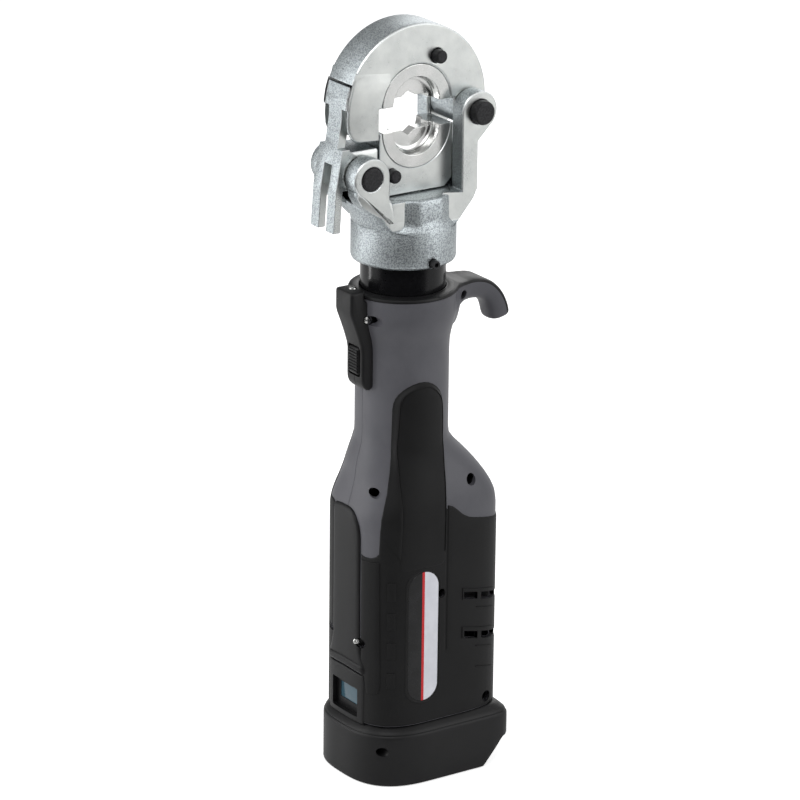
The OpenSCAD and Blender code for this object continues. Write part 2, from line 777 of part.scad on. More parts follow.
module eccentric_bearing() color("silver") translate([eccentric, 0, plunger_z - cam_h / 2]) difference() {
    cylinder(r = cam_r + bearing_t, h = cam_h);
    translate([0, 0, -over]) cylinder(r = cam_r, h = cam_h + 2 * over);
}
module gearbox() color("dimgray") difference() {
    union() {
        translate([0, 0, gear_z0]) cylinder(r = gear_r, h = gear_h);
        for (i = [0 : 3]) rotate([0, 0, 45 + 90 * i]) translate([gear_r - wall, 0, gear_z0])
            cylinder(r = 1.5 * wall, h = gear_h * gear_boss_share);
    }
    translate([0, 0, gear_z0 - over]) cylinder(r = motor_shaft_r + clear, h = gear_h / 2);
    translate([0, 0, gear_z1 - gear_h / 4]) cylinder(r = shaft_r + clear, h = gear_h);
}
module motor() color("darkgray") difference() {
    union() {
        translate([0, 0, motor_z0]) cylinder(r = motor_r, h = motor_h);
        translate([0, 0, motor_z0 - wall]) cylinder(r = motor_r / 3, h = wall + over);
    }
    for (i = [0 : motor_vent_n - 1]) rotate([0, 0, 360 * i / motor_vent_n])
        translate([0, -wall / 2, motor_z0 + 2 * wall]) cube([2 * motor_r, wall, motor_h / 4]);
    translate([0, 0, motor_z0 + wall / 2]) cylinder(r = motor_r - wall, h = motor_h - wall);
    translate([0, 0, motor_z0 - wall / 2]) cylinder(r = motor_shaft_r + run_fit, h = motor_h + 2 * wall);
}
module motor_shaft() color("lightsteelblue") {
    translate([0, 0, motor_z0 + wall]) cylinder(r = motor_shaft_r, h = motor_h + gear_h / 4);
    translate([0, 0, motor_z0 + 2 * wall]) cylinder(r = motor_r - 2 * wall, h = motor_h * rotor_share);
}

// HANDLE

// The panel's outline in its own plane: a strip with a round top that widens over the shoulder
module panel_2d() {
    body_w = panel_right - panel_left_body;
    hull() {
        translate([panel_right - panel_round, panel_top - panel_round]) circle(panel_round);
        translate([panel_left_grip + panel_round, panel_top - panel_top_share * panel_round])
            circle(panel_round);
        translate([panel_left_grip, grip_z0]) square([panel_right - panel_left_grip, over]);
    }
    polygon(concat(
        [[panel_left_grip, grip_z0 + over], [panel_right, grip_z0 + over],
         [panel_right, body_z0], [panel_left_body, body_z0], [panel_left_body, shoulder_z0]],
        [for (e = panel_edge_shares)
            [toward(panel_left_body, panel_left_grip, e[0]), shoulder_z0 + shoulder_h * e[1]]]
    ));
    // Behind the strip the soft skin starts lower, along a wave
    polygon(concat(
        [[panel_right - over, body_z0], [3 * body_rear, body_z0], [3 * body_rear, rear_line_z - wall]],
        [for (w = wave_shares) [panel_right + body_w * w[0], rear_line_z + wave_h * w[1]]],
        [[panel_right - over, rear_line_z + wave_h]]
    ));
    // Under the shell's tongue
    polygon([
        [-3 * body_front, body_z0], [panel_left_body + over, body_z0], [panel_left_body + over, tongue_z],
        [-3 * body_front, tongue_z]
    ]);
}
// The panel's outline as a block through the front half
module panel_block() rotate([0, 0, -panel_turn]) rotate([90, 0, 0]) translate([0, 0, -body_rear])
    linear_extrude(3 * body_rear) panel_2d();
// The nose cover's outline as a block through the front wall of the body
module nose_block(grow = 0) translate([-nose_in, 0, 0]) rotate([0, -90, 0]) linear_extrude(2 * body_front)
    polygon([
        [display_top - grow, -nose_half_w - grow], [nose_top - nose_drop + grow, -nose_half_w - grow],
        [nose_top - nose_drop / 3 + grow, -nose_half_w / 2 - grow], [nose_top + grow, 0],
        [nose_top - nose_drop / 3 + grow, nose_half_w / 2 + grow],
        [nose_top - nose_drop + grow, nose_half_w + grow], [display_top - grow, nose_half_w + grow]
    ]);
module display_block(grow = 0) block([-2 * body_front, -display_half_w - grow, body_z0 - over],
    [-body_front / 2, display_half_w + grow, display_top + grow - seat_gap]);
// Hook outline in X and Z
module hook_2d() difference() {
    intersection() {
        translate([hook_x, hook_z]) circle(hook_outer_r);
        translate([grip_r - wall / 2, hook_z + hook_tip_up]) square([2 * hook_outer_r, 2 * hook_outer_r]);
    }
    translate([hook_x + hook_inner_dx, hook_z + hook_inner_dz]) circle(hook_inner_r);
}
// Room for the switch behind its cover
module switch_opening() block([-2 * flare_r, -trigger_half_w - 2 * clear, trigger_z0 - 2 * clear],
    [-grip_r / 2, trigger_half_w + 2 * clear, trigger_z1 + 2 * clear]);
module vents() for (share = vent_shares) for (i = [0, 1]) {
    x0 = vent_x0 + i * (vent_w + vent_gap);
    z0 = body_z0 + body_len * share;
    block([x0, -3 * body_half_w, z0], [x0 + vent_w, -body_half_w / 2, z0 + vent_h]);
}
// Columns that the housing screws go through, drawn for the front half
module columns(front) for (s = screw_spots) if (front || s[4] == 0)
    y_bar(s[0], s[1], s[2] + column_wall, -3 * body_half_w, -s[4]);
module column_holes(front) for (s = screw_spots) {
    if (front) y_bar(s[0], s[1], s[2], -3 * body_half_w, -s[3]);
    if (front || s[4] == 0)
        y_bar(s[0], s[1], shank_r + run_fit, (front ? -s[3] : s[3] - s[5]) - over, over - s[4]);
}
// Sunk holes of the seam screws with their pilot bores, drawn for the front half
module seam_holes() for (s = seam_spots) {
    y_bar(s[0], s[1], seam_hole_r, -3 * body_half_w, -s[2]);
    y_bar(s[0], s[1], seam_pin_r + run_fit, -s[2] - over, seam_pin_len - s[2] + over);
}
// A rib across the inside with a round seat
module rib(z, r) difference() {
    block([-2 * body_front, -2 * body_half_w, z], [2 * body_rear, 0, z + wall]);
    cylinder(r = (r + seat_gap) / cos(180 / $fn), h = shell_top);
}
// Grey shell of one half, drawn for the front half
module half_shell(front) {
    cut = seat_gap / 2;
    $fn = 24;
    difference() {
        union() {
            difference() {
                housing_form();
                housing_form(-wall);
            }
            intersection() {
                housing_form(-skin_t);
                union() {
                    columns(front);
                    rib(toward(motor_z0, motor_z1, motor_rib_share), motor_r);
                    rib(toward(gear_z0, gear_z1, gear_rib_share), gear_r);
                }
            }
            across(2 * hook_half_w) difference() {
                hook_2d();
                difference() {
                    translate([hook_x, hook_z]) circle(2 * hook_outer_r);
                    translate([hook_x, hook_z]) circle(hook_outer_r - strip_t - seat_gap);
                }
            }
        }
        block([-3 * body_front, -cut, 0], [3 * body_rear, 3 * body_half_w, cap_top]);
        translate([0, 0, shell_top]) cylinder(r = 3 * body_rear, h = cap_t);
        difference() {
            intersection() {
                panel_block();
                housing_form(over);
            }
            housing_form(-skin_t);
        }
        nose_block(seat_gap);
        display_block(seat_gap);
        switch_opening();
        column_holes(front);
        seam_holes();
        vents();
    }
}
module front_shell() color("dimgray") half_shell(true);
module rear_shell() color("dimgray") mirror([0, 1, 0]) half_shell(false);
// Soft overmould of one half, let into the shell
module half_grip(front) {
    cut = seat_gap / 2;
    $fn = 24;
    difference() {
        intersection() {
            housing_form(skin_proud);
            panel_block();
            block([-3 * body_front, -3 * body_half_w, body_z0], [3 * body_rear, -cut, shell_top]);
        }
        housing_form(-skin_t + seat_gap);
        nose_block(seat_gap);
        display_block(seat_gap);
        if (front) column_holes(front);
        seam_holes();
        vents();
        // Seam along the panel's rear edge
        rotate([0, 0, -panel_turn])
            block([panel_right - seam_w / 2, -3 * body_half_w, body_z0 + body_len * seam_low_share],
                  [panel_right + seam_w / 2, -grip_r, shoulder_z0 + shoulder_h * seam_high_share]);
    }
}
// A capsule through the front side
module label_block(grow) rotate([90, 0, 0]) linear_extrude(3 * body_half_w)
    hull() for (up = [label_w / 2, label_len - label_w / 2])
        translate([label_x, body_z0 + label_up + up]) circle(label_w / 2 + grow);
module front_grip() color("black") difference() {
    half_grip(true);
    label_block(seat_gap, $fn = 32);
}
module rear_grip() color("black") mirror([0, 1, 0]) half_grip(false);
module label_plate() color("whitesmoke") difference() {
    intersection() {
        housing_form(skin_proud - label_sunk);
        label_block(0, $fn = 32);
    }
    housing_form(-skin_t + seat_gap);
}
module nose_cover() color("black") difference() {
    intersection() {
        housing_form(skin_proud);
        nose_block();
    }
    housing_form(-wall);
    display_block(seat_gap);
    for (side = [0, 1]) mirror([0, side, 0]) seam_holes();
}
module display_frame() color("black") difference() {
    intersection() {
        housing_form(frame_proud);
        display_block();
        block([-2 * body_front, -body_half_w, body_z0 + seat_gap], [0, body_half_w, display_top]);
    }
    housing_form(-bezel_t);
    block([-2 * body_front, -lens_half_w, body_z0 + lens_up], [0, lens_half_w, body_z0 + lens_up + lens_h]);
}
module display_lens() color("lightsteelblue")
    block([-body_front + bezel_t - lens_t, -lens_half_w + seat_gap, body_z0 + lens_up + seat_gap],
          [-body_front + bezel_t, lens_half_w - seat_gap, body_z0 + lens_up + lens_h - seat_gap]);
// Board with the display's screen in front and its chips behind
module circuit_board() color("darkgreen") {
    screen_x = -body_front + bezel_t + seat_gap;
    x0 = screen_x + screen_t;
    z0 = body_z0 + lens_up;
    block([screen_x, -lens_half_w + screen_edge, z0 + screen_edge],
          [x0 + over, lens_half_w - screen_edge, z0 + lens_h - screen_edge]);
    block([x0, -board_half_w, z0], [x0 + board_t, board_half_w, z0 + board_h]);
    for (share = chip_shares) block([x0 + board_t - seat_gap, -board_half_w / 2, z0 + board_h * share],
        [x0 + 3 * board_t, board_half_w / 2, z0 + board_h * share + chip_h]);
}
// Strip over the hook, running down from the cap's top
module strip_2d() {
    difference() {
        hook_2d();
        translate([hook_x, hook_z]) circle(hook_outer_r - strip_t);
        translate([0, hook_z]) square([hook_x, 2 * hook_outer_r]);
    }
    polygon([
        [grip_r - strip_t, shell_top + seat_gap], [grip_r - strip_t, cap_top], [grip_r + strip_t, cap_top],
        [hook_x + seat_gap, shell_top - hook_top_drop],
        [hook_x + seat_gap, shell_top - hook_top_drop - strip_t],
        [flare_r + seat_gap, shell_top - strip_t], [flare_r + seat_gap, shell_top + seat_gap]
    ]);
}
module top_cap() color("black") difference() {
    union() {
        translate([0, 0, shell_top + seat_gap]) cylinder(r = flare_r, h = cap_t - seat_gap);
        across(2 * hook_half_w) strip_2d();
    }
    cylinder(d = tube_d + 2 * clear, h = cap_top + over);
}
// Side outline of the switch cover
module cover_2d() polygon([
    [-grip_r / 2, cover_z0], [-grip_r, cover_z0], [-cover_low_x + wall, cover_z0 + wall],
    [-cover_low_x, cover_z0 + 2 * wall], [-cover_low_x, trigger_z1],
    [-(cover_low_x + cover_top_x) / 2, (trigger_z1 + shell_top) / 2],
    [-cover_top_x, shell_top - 3 * wall], [-cover_top_x, cap_top + cover_rise],
    [-flare_r - clear, cap_top + cover_rise], [-flare_r - clear, shell_top - over],
    [-grip_r / 2, shell_top - over]
]);
module switch_cover() color("black") difference() {
    across(2 * cover_half_w) cover_2d();
    housing_form(seat_gap);
    block([-2 * flare_r, -trigger_half_w - clear, trigger_z0 - clear],
          [0, trigger_half_w + clear, trigger_z1 + clear]);
    for (side = [0, 1]) mirror([0, side, 0]) seam_holes();
}
module trigger() color("black") {
    block([-trigger_x, -trigger_half_w, trigger_z0], [trigger_deep - trigger_x, trigger_half_w, trigger_z1]);
    for (i = [1 : rib_n]) y_bar(-trigger_x, toward(trigger_z0, trigger_z1, i / (rib_n + 1)), rib_r,
        -trigger_half_w + rib_r, trigger_half_w - rib_r);
}
module micro_switch() color("dimgray")
    block([switch_x0, -trigger_half_w, trigger_z0], [switch_x1, trigger_half_w, trigger_z1]);
module housing_screws() color("silver") for (s = screw_spots) {
    y_bar(s[0], s[1], s[2] - head_gap, -s[3] - head_t, -s[3]);
    y_bar(s[0], s[1], shank_r, -s[3] - head_t / 2, s[5] - s[3]);
}
module cover_screws() color("silver") {
    for (side = [0, 1]) mirror([0, side, 0]) for (s = seam_spots) {
        y_bar(s[0], s[1], seam_head_r, -s[2] - seam_head_t, -s[2]);
        y_bar(s[0], s[1], seam_pin_r, -s[2] - seam_head_t / 2, seam_pin_len - s[2]);
    }
    translate([-top_screw_x, 0, cap_top + cover_rise]) cylinder(r = top_screw_r, h = top_screw_h);
}

// BATTERY PACK

module pack_cut() across(3 * battery_half_w) polygon([
    [notch_x, -over], [battery_rear - release_t, notch_up], [2 * battery_rear, notch_up],
    [2 * battery_rear, -over]
]);
module cells(grow) for (i = [0 : cell_n - 1])
    translate([i * (cell_d + 2 * seat_gap) - battery_front * cell_row_share, 0,
               battery_wall + seat_gap + cell_d / 2])
        rotate([90, 0, 0]) cylinder(d = cell_d + 2 * grow, h = cell_len + 2 * grow, center = true);
module battery_case() color("black") difference() {
    $fn = 24;
    loft(battery_stations(0, lid_share));
    pack_cut();
    intersection() {
        loft(battery_stations(0, lid_share), -battery_wall);
        block([-battery_front, -battery_half_w, battery_wall + cell_d / 2],
              [notch_x - battery_wall, battery_half_w, battery_h]);
    }
    cells(seat_gap);
    block([battery_rear - release_deep - release_travel - clear, -release_half_w - clear,
           notch_up + release_t - clear],
          [2 * battery_rear, release_half_w + clear, notch_up + release_t + release_h + clear]);
    for (side = [0, 1]) mirror([0, side, 0])
        y_bar(-pack_hole_x, pack_hole_up, pack_hole_r, -2 * battery_half_w, -pack_hole_seat);
}
module battery_lid() color("black") {
    difference() {
        loft([for (s = battery_stations(lid_share, 1)) [
            s[0] + (s[0] < pack_top ? seat_gap : -slice_t), s[1], s[2], s[3], s[4], s[5]
        ]]);
        block([-tower_front, -tower_half_w, 0], [tower_rear, tower_half_w, pack_top - battery_wall]);
    }
    difference() {
        block([-tower_front, -tower_half_w, pack_top - battery_wall - slice_t],
              [tower_rear, tower_half_w, battery_h + tower_h]);
        block([-tower_front + battery_wall, -tower_half_w + battery_wall, 0],
              [tower_rear - battery_wall, tower_half_w - battery_wall, battery_h + tower_h - battery_wall]);
    }
}
module battery_cells() color("steelblue") cells(0);
module battery_contacts() color("goldenrod") for (i = [0 : blade_n - 1])
    translate([-tower_front / 2, (2 * i - blade_n + 1) * tower_half_w * blade_share / 2, battery_h + tower_h])
        cube([tower_front, blade_t, tower_h / 2]);
module battery_release() color("dimgray")
    block([battery_rear - release_deep, -release_half_w, notch_up + release_t],
          [battery_rear, release_half_w, notch_up + release_t + release_h]);

yoke();
hinge_pin();
latch_pin();
collar_set_screw();
upper_jaw();
upper_die();
upper_die_button();
ram();
piston();
piston_seal();
return_spring();
lower_die();
lower_die_button();
latch_lever();
cylinder_tube();
pump_block();
oil_bladder();
pump_plunger();
eccentric_shaft();
eccentric_bearing();
gearbox();
motor();
motor_shaft();
front_shell();
rear_shell();
front_grip();
rear_grip();
nose_cover();
top_cap();
switch_cover();
trigger();
micro_switch();
display_frame();
display_lens();
circuit_board();
label_plate();
housing_screws();
cover_screws();
battery_case();
battery_lid();
battery_cells();
battery_contacts();
battery_release();
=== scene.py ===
import math

import bpy
import numpy as np
from mathutils import Matrix, Vector


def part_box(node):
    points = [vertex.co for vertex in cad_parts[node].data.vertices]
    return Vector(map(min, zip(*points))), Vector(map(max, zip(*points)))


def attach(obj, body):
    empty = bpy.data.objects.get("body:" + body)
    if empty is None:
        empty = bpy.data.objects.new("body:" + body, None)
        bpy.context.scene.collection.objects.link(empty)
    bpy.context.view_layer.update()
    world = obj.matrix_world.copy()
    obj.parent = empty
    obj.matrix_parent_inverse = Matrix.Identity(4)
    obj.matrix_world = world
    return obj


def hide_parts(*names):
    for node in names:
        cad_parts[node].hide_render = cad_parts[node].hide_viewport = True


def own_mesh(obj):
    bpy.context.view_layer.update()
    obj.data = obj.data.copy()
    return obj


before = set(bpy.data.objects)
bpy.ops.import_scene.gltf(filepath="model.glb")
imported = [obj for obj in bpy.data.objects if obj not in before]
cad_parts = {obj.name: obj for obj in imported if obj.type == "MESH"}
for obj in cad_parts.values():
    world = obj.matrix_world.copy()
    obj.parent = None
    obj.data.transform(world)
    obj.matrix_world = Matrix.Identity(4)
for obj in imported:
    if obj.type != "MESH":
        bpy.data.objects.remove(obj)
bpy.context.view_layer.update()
scene = bpy.context.scene
scene.view_settings.view_transform = "Standard"

# Studio. A pale floor and backdrop, soft boxes on both sides and above, and a long lens
# at the photograph's angle: a little above the tool, looking at its label side and nose.
camera_turn, camera_rise, camera_roll = math.radians(34.13), math.radians(19.27), math.radians(0.66)
camera_target = Vector((-0.00097, 0, 0.20944))
camera_distance = 2.4048
focal_pixels, image_pixels = 4472.8, 800
away = Vector((
    -math.sin(camera_turn) * math.cos(camera_rise),
    -math.cos(camera_turn) * math.cos(camera_rise),
    math.sin(camera_rise),
))
level = Vector((math.cos(camera_turn), -math.sin(camera_turn), 0))
upright = away.cross(level)
right = level * math.cos(camera_roll) + upright * math.sin(camera_roll)
up = upright * math.cos(camera_roll) - level * math.sin(camera_roll)
bpy.ops.object.select_all(action="DESELECT")
bpy.ops.object.camera_add()
camera = bpy.context.object
camera.name = "studio_camera"
camera.matrix_world = Matrix.Translation(camera_target + away * camera_distance) @ Matrix(
    (right, up, away)).transposed().to_4x4()
camera.data.sensor_fit = "HORIZONTAL"
camera.data.sensor_width = 36
camera.data.lens = camera.data.sensor_width * focal_pixels / image_pixels
camera.data.clip_end = 20
scene.camera = camera


class Flow:
    """One output in a material's tree. Sums, products and comparisons add Math nodes."""

    def __init__(self, tree, socket):
        self.tree = tree
        self.socket = socket

    def node(self, kind, settings=(), sockets=(), out=0):
        made = self.tree.nodes.new(kind)
        for key, value in dict(settings).items():
            setattr(made, key, value)
        self.feed(made, dict(sockets))
        return Flow(self.tree, made.outputs[out])

    def feed(self, made, sockets):
        for key, value in sockets.items():
            if isinstance(value, Flow):
                self.tree.links.new(value.socket, made.inputs[key])
            else:
                made.inputs[key].default_value = value

    def math(self, operation, first, second=0.0):
        return self.node("ShaderNodeMath", {"operation": operation}, {0: first, 1: second})

    def __add__(self, other):
        return self.math("ADD", self, other)

    def __sub__(self, other):
        return self.math("SUBTRACT", self, other)

    def __rsub__(self, other):
        return self.math("SUBTRACT", other, self)

    def __mul__(self, other):
        return self.math("MULTIPLY", self, other)

    def __gt__(self, other):
        return self.math("GREATER_THAN", self, other)

    def __abs__(self):
        return self.math("ABSOLUTE", self)

    __radd__ = __add__
    __rmul__ = __mul__

    def part(self, axis):
        return self.node("ShaderNodeSeparateXYZ", {}, {0: self}, out="XYZ".index(axis))

    def between(self, low, high):
        return self.node("ShaderNodeMapRange", {"interpolation_type": "SMOOTHSTEP"},
                         {"Value": self, "From Min": low, "From Max": high})

    def noise(self, scale, detail=2.0, rough=0.5):
        return self.node("ShaderNodeTexNoise", {}, {"Vector": self, "Scale": scale, "Detail": detail,
                                                    "Roughness": rough})

    def mix(self, first, second):
        return self.node("ShaderNodeMix", {"data_type": "RGBA"}, {0: self, 6: first, 7: second}, out=2)

    def bump(self, strength, distance):
        return self.node("ShaderNodeBump", {}, {"Strength": strength, "Distance": distance, "Height": self})

    def ray(self, kind):
        return self.node("ShaderNodeLightPath", out="Is %s Ray" % kind)


def finish(name, build):
    """A material whose shader sockets come from build(place, facing): Object coordinates and normal."""
    material = bpy.data.materials.new(name)
    material.use_nodes = True
    tree = material.node_tree
    coords = tree.nodes.new("ShaderNodeTexCoord")
    place, facing = Flow(tree, coords.outputs["Object"]), Flow(tree, coords.outputs["Normal"])
    place.feed(tree.nodes["Principled BSDF"], build(place, facing))
    return material


def paper(place, facing):
    shine = place.ray("Camera") * 0.62 + (place.ray("Glossy") + place.ray("Transmission")) * 0.3
    return {"Base Color": (0.86, 0.86, 0.86, 1), "Roughness": 1.0, "Specular IOR Level": 0.0,
            "Emission Color": shine.mix((0, 0, 0, 1), (1, 1, 1, 1)), "Emission Strength": 1.0}


floor_gap = 0.0004
bpy.ops.mesh.primitive_plane_add(size=14, location=(0, 0, -floor_gap))
floor = bpy.context.object
floor.name = "studio_floor"
floor.data.materials.append(finish("studio_paper", paper))

scene.world = bpy.data.worlds.new("studio_air")
scene.world.use_nodes = True
air = scene.world.node_tree
sight = Flow(air, None)
in_view = (sight.ray("Camera") + sight.ray("Glossy") + sight.ray("Transmission")) > 0.5
backdrop = air.nodes["Background"]
backdrop.inputs["Color"].default_value = (1, 1, 1, 1)
air.links.new((0.34 + in_view * 0.66).socket, backdrop.inputs["Strength"])


def bearing(side):
    """The level direction at an angle in degrees to the left (-) or right (+) of the camera."""
    turn = math.radians(side)
    return Vector((away.x, away.y, 0)).normalized() * math.cos(turn) + level * math.sin(turn)


def soft_box(name, side, rise, distance, width, height, watts):
    """An area lamp at a bearing, aimed at the tool's middle."""
    place = bearing(side) * distance + Vector((0, 0, rise))
    bpy.ops.object.light_add(type="AREA", location=place)
    lamp = bpy.context.object
    lamp.name = name
    lamp.data.shape = "RECTANGLE"
    lamp.data.size = width
    lamp.data.size_y = height
    lamp.data.energy = watts
    lamp.rotation_euler = (place - lamp_target).to_track_quat("Z", "Y").to_euler()


lamp_target = Vector((0, 0, 0.2))
soft_box("left_box", -82, 0.7, 1.3, 0.55, 1.3, 9)
soft_box("strip_box", -98, 0.06, 0.75, 0.08, 0.3, 0.8)
soft_box("right_box", 70, 0.8, 1.5, 0.8, 1.3, 9)
soft_box("top_box", -12, 1.42, 1.0, 0.9, 0.7, 8)
soft_box("rear_box", 165, 0.9, 1.4, 0.9, 1.0, 6)


def cloth_look(dark, light):
    def build(place, facing):
        weave = place.noise(300, 2)
        return {"Base Color": weave.mix((dark, dark, dark, 1), (light, light, light, 1)), "Roughness": 1.0,
                "Specular IOR Level": 0.0}
    return build


def flag(name, side, distance, rise, width, height, tilt, look):
    """A cloth on a frame beside the set; only reflections in the tool show it."""
    toward = bearing(side)
    bpy.ops.mesh.primitive_plane_add(size=1, location=toward * distance + Vector((0, 0, rise)))
    cloth = bpy.context.object
    cloth.name = name
    cloth.scale = (width, height, 1)
    lean = math.radians(tilt)
    faces = toward * math.cos(lean) + Vector((0, 0, math.sin(lean)))
    cloth.rotation_euler = faces.to_track_quat("Z", "Y").to_euler()
    cloth.visible_camera = False
    cloth.visible_shadow = False
    cloth.visible_diffuse = False
    cloth.data.materials.append(look)


black_cloth = finish("black_cloth", cloth_look(0.006, 0.012))
grey_cloth = finish("grey_cloth", cloth_look(0.46, 0.52))
flag("front_flag", 0, 1.25, 0.0, 2.2, 1.7, 89.9, black_cloth)
flag("camera_flag", 0, 2.7, 0.75, 2.6, 1.5, 10, black_cloth)
flag("rear_flag", -150, 1.7, 0.8, 2.2, 2.6, -20, grey_cloth)
flag("roof_flag", 180, 0.5, 2.4, 2.4, 2.4, -89.9, grey_cloth)


# Works inside the handle: motor, gearbox, eccentric, pump and bladder, the board and the switch.
# Steel, cast aluminium, rubber and moulded plastic, pressed and screwed into the shells' ribs.
def dress(node, material, edge=0.0):
    """A CAD node keeps its mesh, gets its finish and, on top, broken edges."""
    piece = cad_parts[node]
    piece.data.materials.clear()
    piece.data.materials.append(material)
    join = piece.modifiers.new("join", "WELD")
    join.merge_threshold = 0.000002
    if edge:
        flat = piece.modifiers.new("flat", "DECIMATE")
        flat.decimate_type = "DISSOLVE"
        flat.angle_limit = math.radians(0.6)
        broken = piece.modifiers.new("edge", "BEVEL")
        broken.width = edge
        broken.segments = 2
        broken.limit_method = "ANGLE"
        broken.angle_limit = math.radians(30)
        broken.use_clamp_overlap = False
        broken.harden_normals = True


def metal(name, dark, light, rough, grain=1200, depth=0.08):
    """Bare metal: clouded colour and gloss over a fine grain."""
    def build(place, facing):
        cloud = place.noise(70, 4, 0.6)
        fine = place.noise(grain, 3, 0.6)
        return {"Base Color": cloud.between(0.3, 0.7).mix((*dark, 1), (*light, 1)), "Metallic": 1.0,
                "Roughness": rough + (cloud - 0.5) * 0.14 + (fine - 0.5) * 0.1,
                "Normal": fine.bump(depth, 0.00015)}
    return finish(name, build)


def plastic(name, dark, light, rough, shine, grain=2400, depth=0.12):
    """Moulded plastic or rubber: a spark-eroded grain over slightly uneven colour."""
    def build(place, facing):
        cloud = place.noise(28, 4, 0.6)
        fine = place.noise(grain, 3, 0.6)
        return {"Base Color": cloud.between(0.3, 0.7).mix((*dark, 1), (*light, 1)),
                "Roughness": rough + (cloud - 0.5) * 0.1 + (fine - 0.5) * 0.16,
                "Specular IOR Level": shine, "Normal": fine.bump(depth, 0.00012)}
    return finish(name, build)


ground_steel = metal("ground_steel", (0.42, 0.43, 0.44), (0.56, 0.56, 0.56), 0.26)
black_plastic = plastic("black_plastic", (0.004, 0.004, 0.0044), (0.007, 0.007, 0.0075), 0.46, 0.2)
for node in ("piston", "pump_plunger", "eccentric_shaft", "eccentric_bearing", "motor_shaft"):
    dress(node, ground_steel, 0.0002)
dress("motor", metal("motor_can", (0.30, 0.31, 0.33), (0.40, 0.41, 0.42), 0.34), 0.0004)
pump_casting = metal("pump_casting", (0.36, 0.37, 0.38), (0.48, 0.49, 0.49), 0.48, 700, 0.3)
for node in ("gearbox", "pump_block"):
    dress(node, pump_casting, 0.0004)
seal_rubber = plastic("seal_rubber", (0.008, 0.008, 0.008), (0.014, 0.013, 0.012), 0.55, 0.3, 900, 0.2)
for node in ("oil_bladder", "piston_seal"):
    dress(node, seal_rubber, 0.0003)
dress("micro_switch", black_plastic, 0.0003)


def board_look(place, facing):
    trace = place.node("ShaderNodeTexVoronoi", {"distance": "CHEBYCHEV"}, {"Vector": place, "Scale": 420.0})
    return {"Base Color": trace.between(0.2, 0.5).mix((0.01, 0.11, 0.04, 1), (0.015, 0.17, 0.06, 1)),
            "Roughness": 0.3 + trace * 0.2, "Specular IOR Level": 0.4, "Normal": trace.bump(0.2, 0.0001)}


dress("circuit_board", finish("board_green", board_look), 0.0002)

# Cylinder tube: honed steel, turned and dipped in glossy black, screwed into the pump block below
# and into the head's collar above.
def tube_look(place, facing):
    mist = place.noise(500, 2)
    return {"Base Color": mist.mix((0.003, 0.003, 0.0035, 1), (0.007, 0.007, 0.008, 1)),
            "Roughness": 0.15 + mist * 0.08, "Specular IOR Level": 0.15, "Coat Weight": 0.02 + mist * 0.02,
            "Coat Roughness": 0.1, "Normal": mist.bump(0.02, 0.00005)}


mm = 0.001


def open_mesh():
    """Starts work on the active piece's mesh with all of it selected."""
    bpy.ops.object.mode_set(mode="EDIT")
    bpy.ops.mesh.select_all(action="SELECT")


def close_mesh():
    bpy.ops.object.mode_set(mode="OBJECT")


def settle(piece, material, body, slot, *nodes):
    """Ends a new piece: clean outward faces, soft shading, its finish, its body and its node."""
    bpy.ops.object.select_all(action="DESELECT")
    piece.select_set(True)
    bpy.context.view_layer.objects.active = piece
    open_mesh()
    bpy.ops.mesh.remove_doubles(threshold=0.000002)
    bpy.ops.mesh.normals_make_consistent(inside=False)
    close_mesh()
    bpy.ops.object.shade_smooth_by_angle(angle=math.radians(32))
    piece.data.materials.clear()
    piece.data.materials.append(material)
    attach(piece, body)
    if nodes:
        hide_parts(*nodes)


def lattice(name, points, wrap_rows=False):
    """A quilt of faces through closed rows of points in mm: its end rows are capped, or joined to a ring."""
    points = np.asarray(points, float)
    rows, columns = points.shape[:2]
    along = rows - 1 + wrap_rows
    bpy.ops.object.select_all(action="DESELECT")
    bpy.ops.mesh.primitive_grid_add(x_subdivisions=columns, y_subdivisions=along, size=2)
    piece = bpy.context.object
    piece.name = name
    for vertex in piece.data.vertices:
        i = round((vertex.co.x + 1) / 2 * columns) % columns
        j = round((vertex.co.y + 1) / 2 * along) % rows
        vertex.co = points[j, i] * mm
    open_mesh()
    bpy.ops.mesh.remove_doubles(threshold=0.000001)
    if not wrap_rows:
        bpy.ops.mesh.select_all(action="DESELECT")
        bpy.ops.mesh.select_non_manifold()
        bpy.ops.mesh.fill_holes(sides=0)
    close_mesh()
    return piece


def turned(name, profile, steps=72):
    """A ring round the tool's axis with a closed profile of radii and heights in mm."""
    ring = np.linspace(0, 2 * math.pi, steps, endpoint=False)
    rows = [[(r * math.cos(t), r * math.sin(t), z) for r, z in profile] for t in ring]
    return lattice(name, rows, wrap_rows=True)


low, high = np.array(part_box("cylinder_tube")) / mm
tube_wall, oil_port, tube_floor = 6.5, 3, low[2] + 12
outer, bore = high[0], high[0] - tube_wall
tube = turned("ram_tube", [
    (oil_port, low[2]), (outer - 0.6, low[2]), (outer, low[2] + 0.6), (outer, high[2] - 0.6),
    (outer - 0.4, high[2]), (bore + 0.3, high[2]), (bore, high[2] - 0.4), (bore, tube_floor),
    (oil_port, tube_floor)], 120)
settle(tube, finish("black_tube", tube_look), "handle", "black_tube", "cylinder_tube")

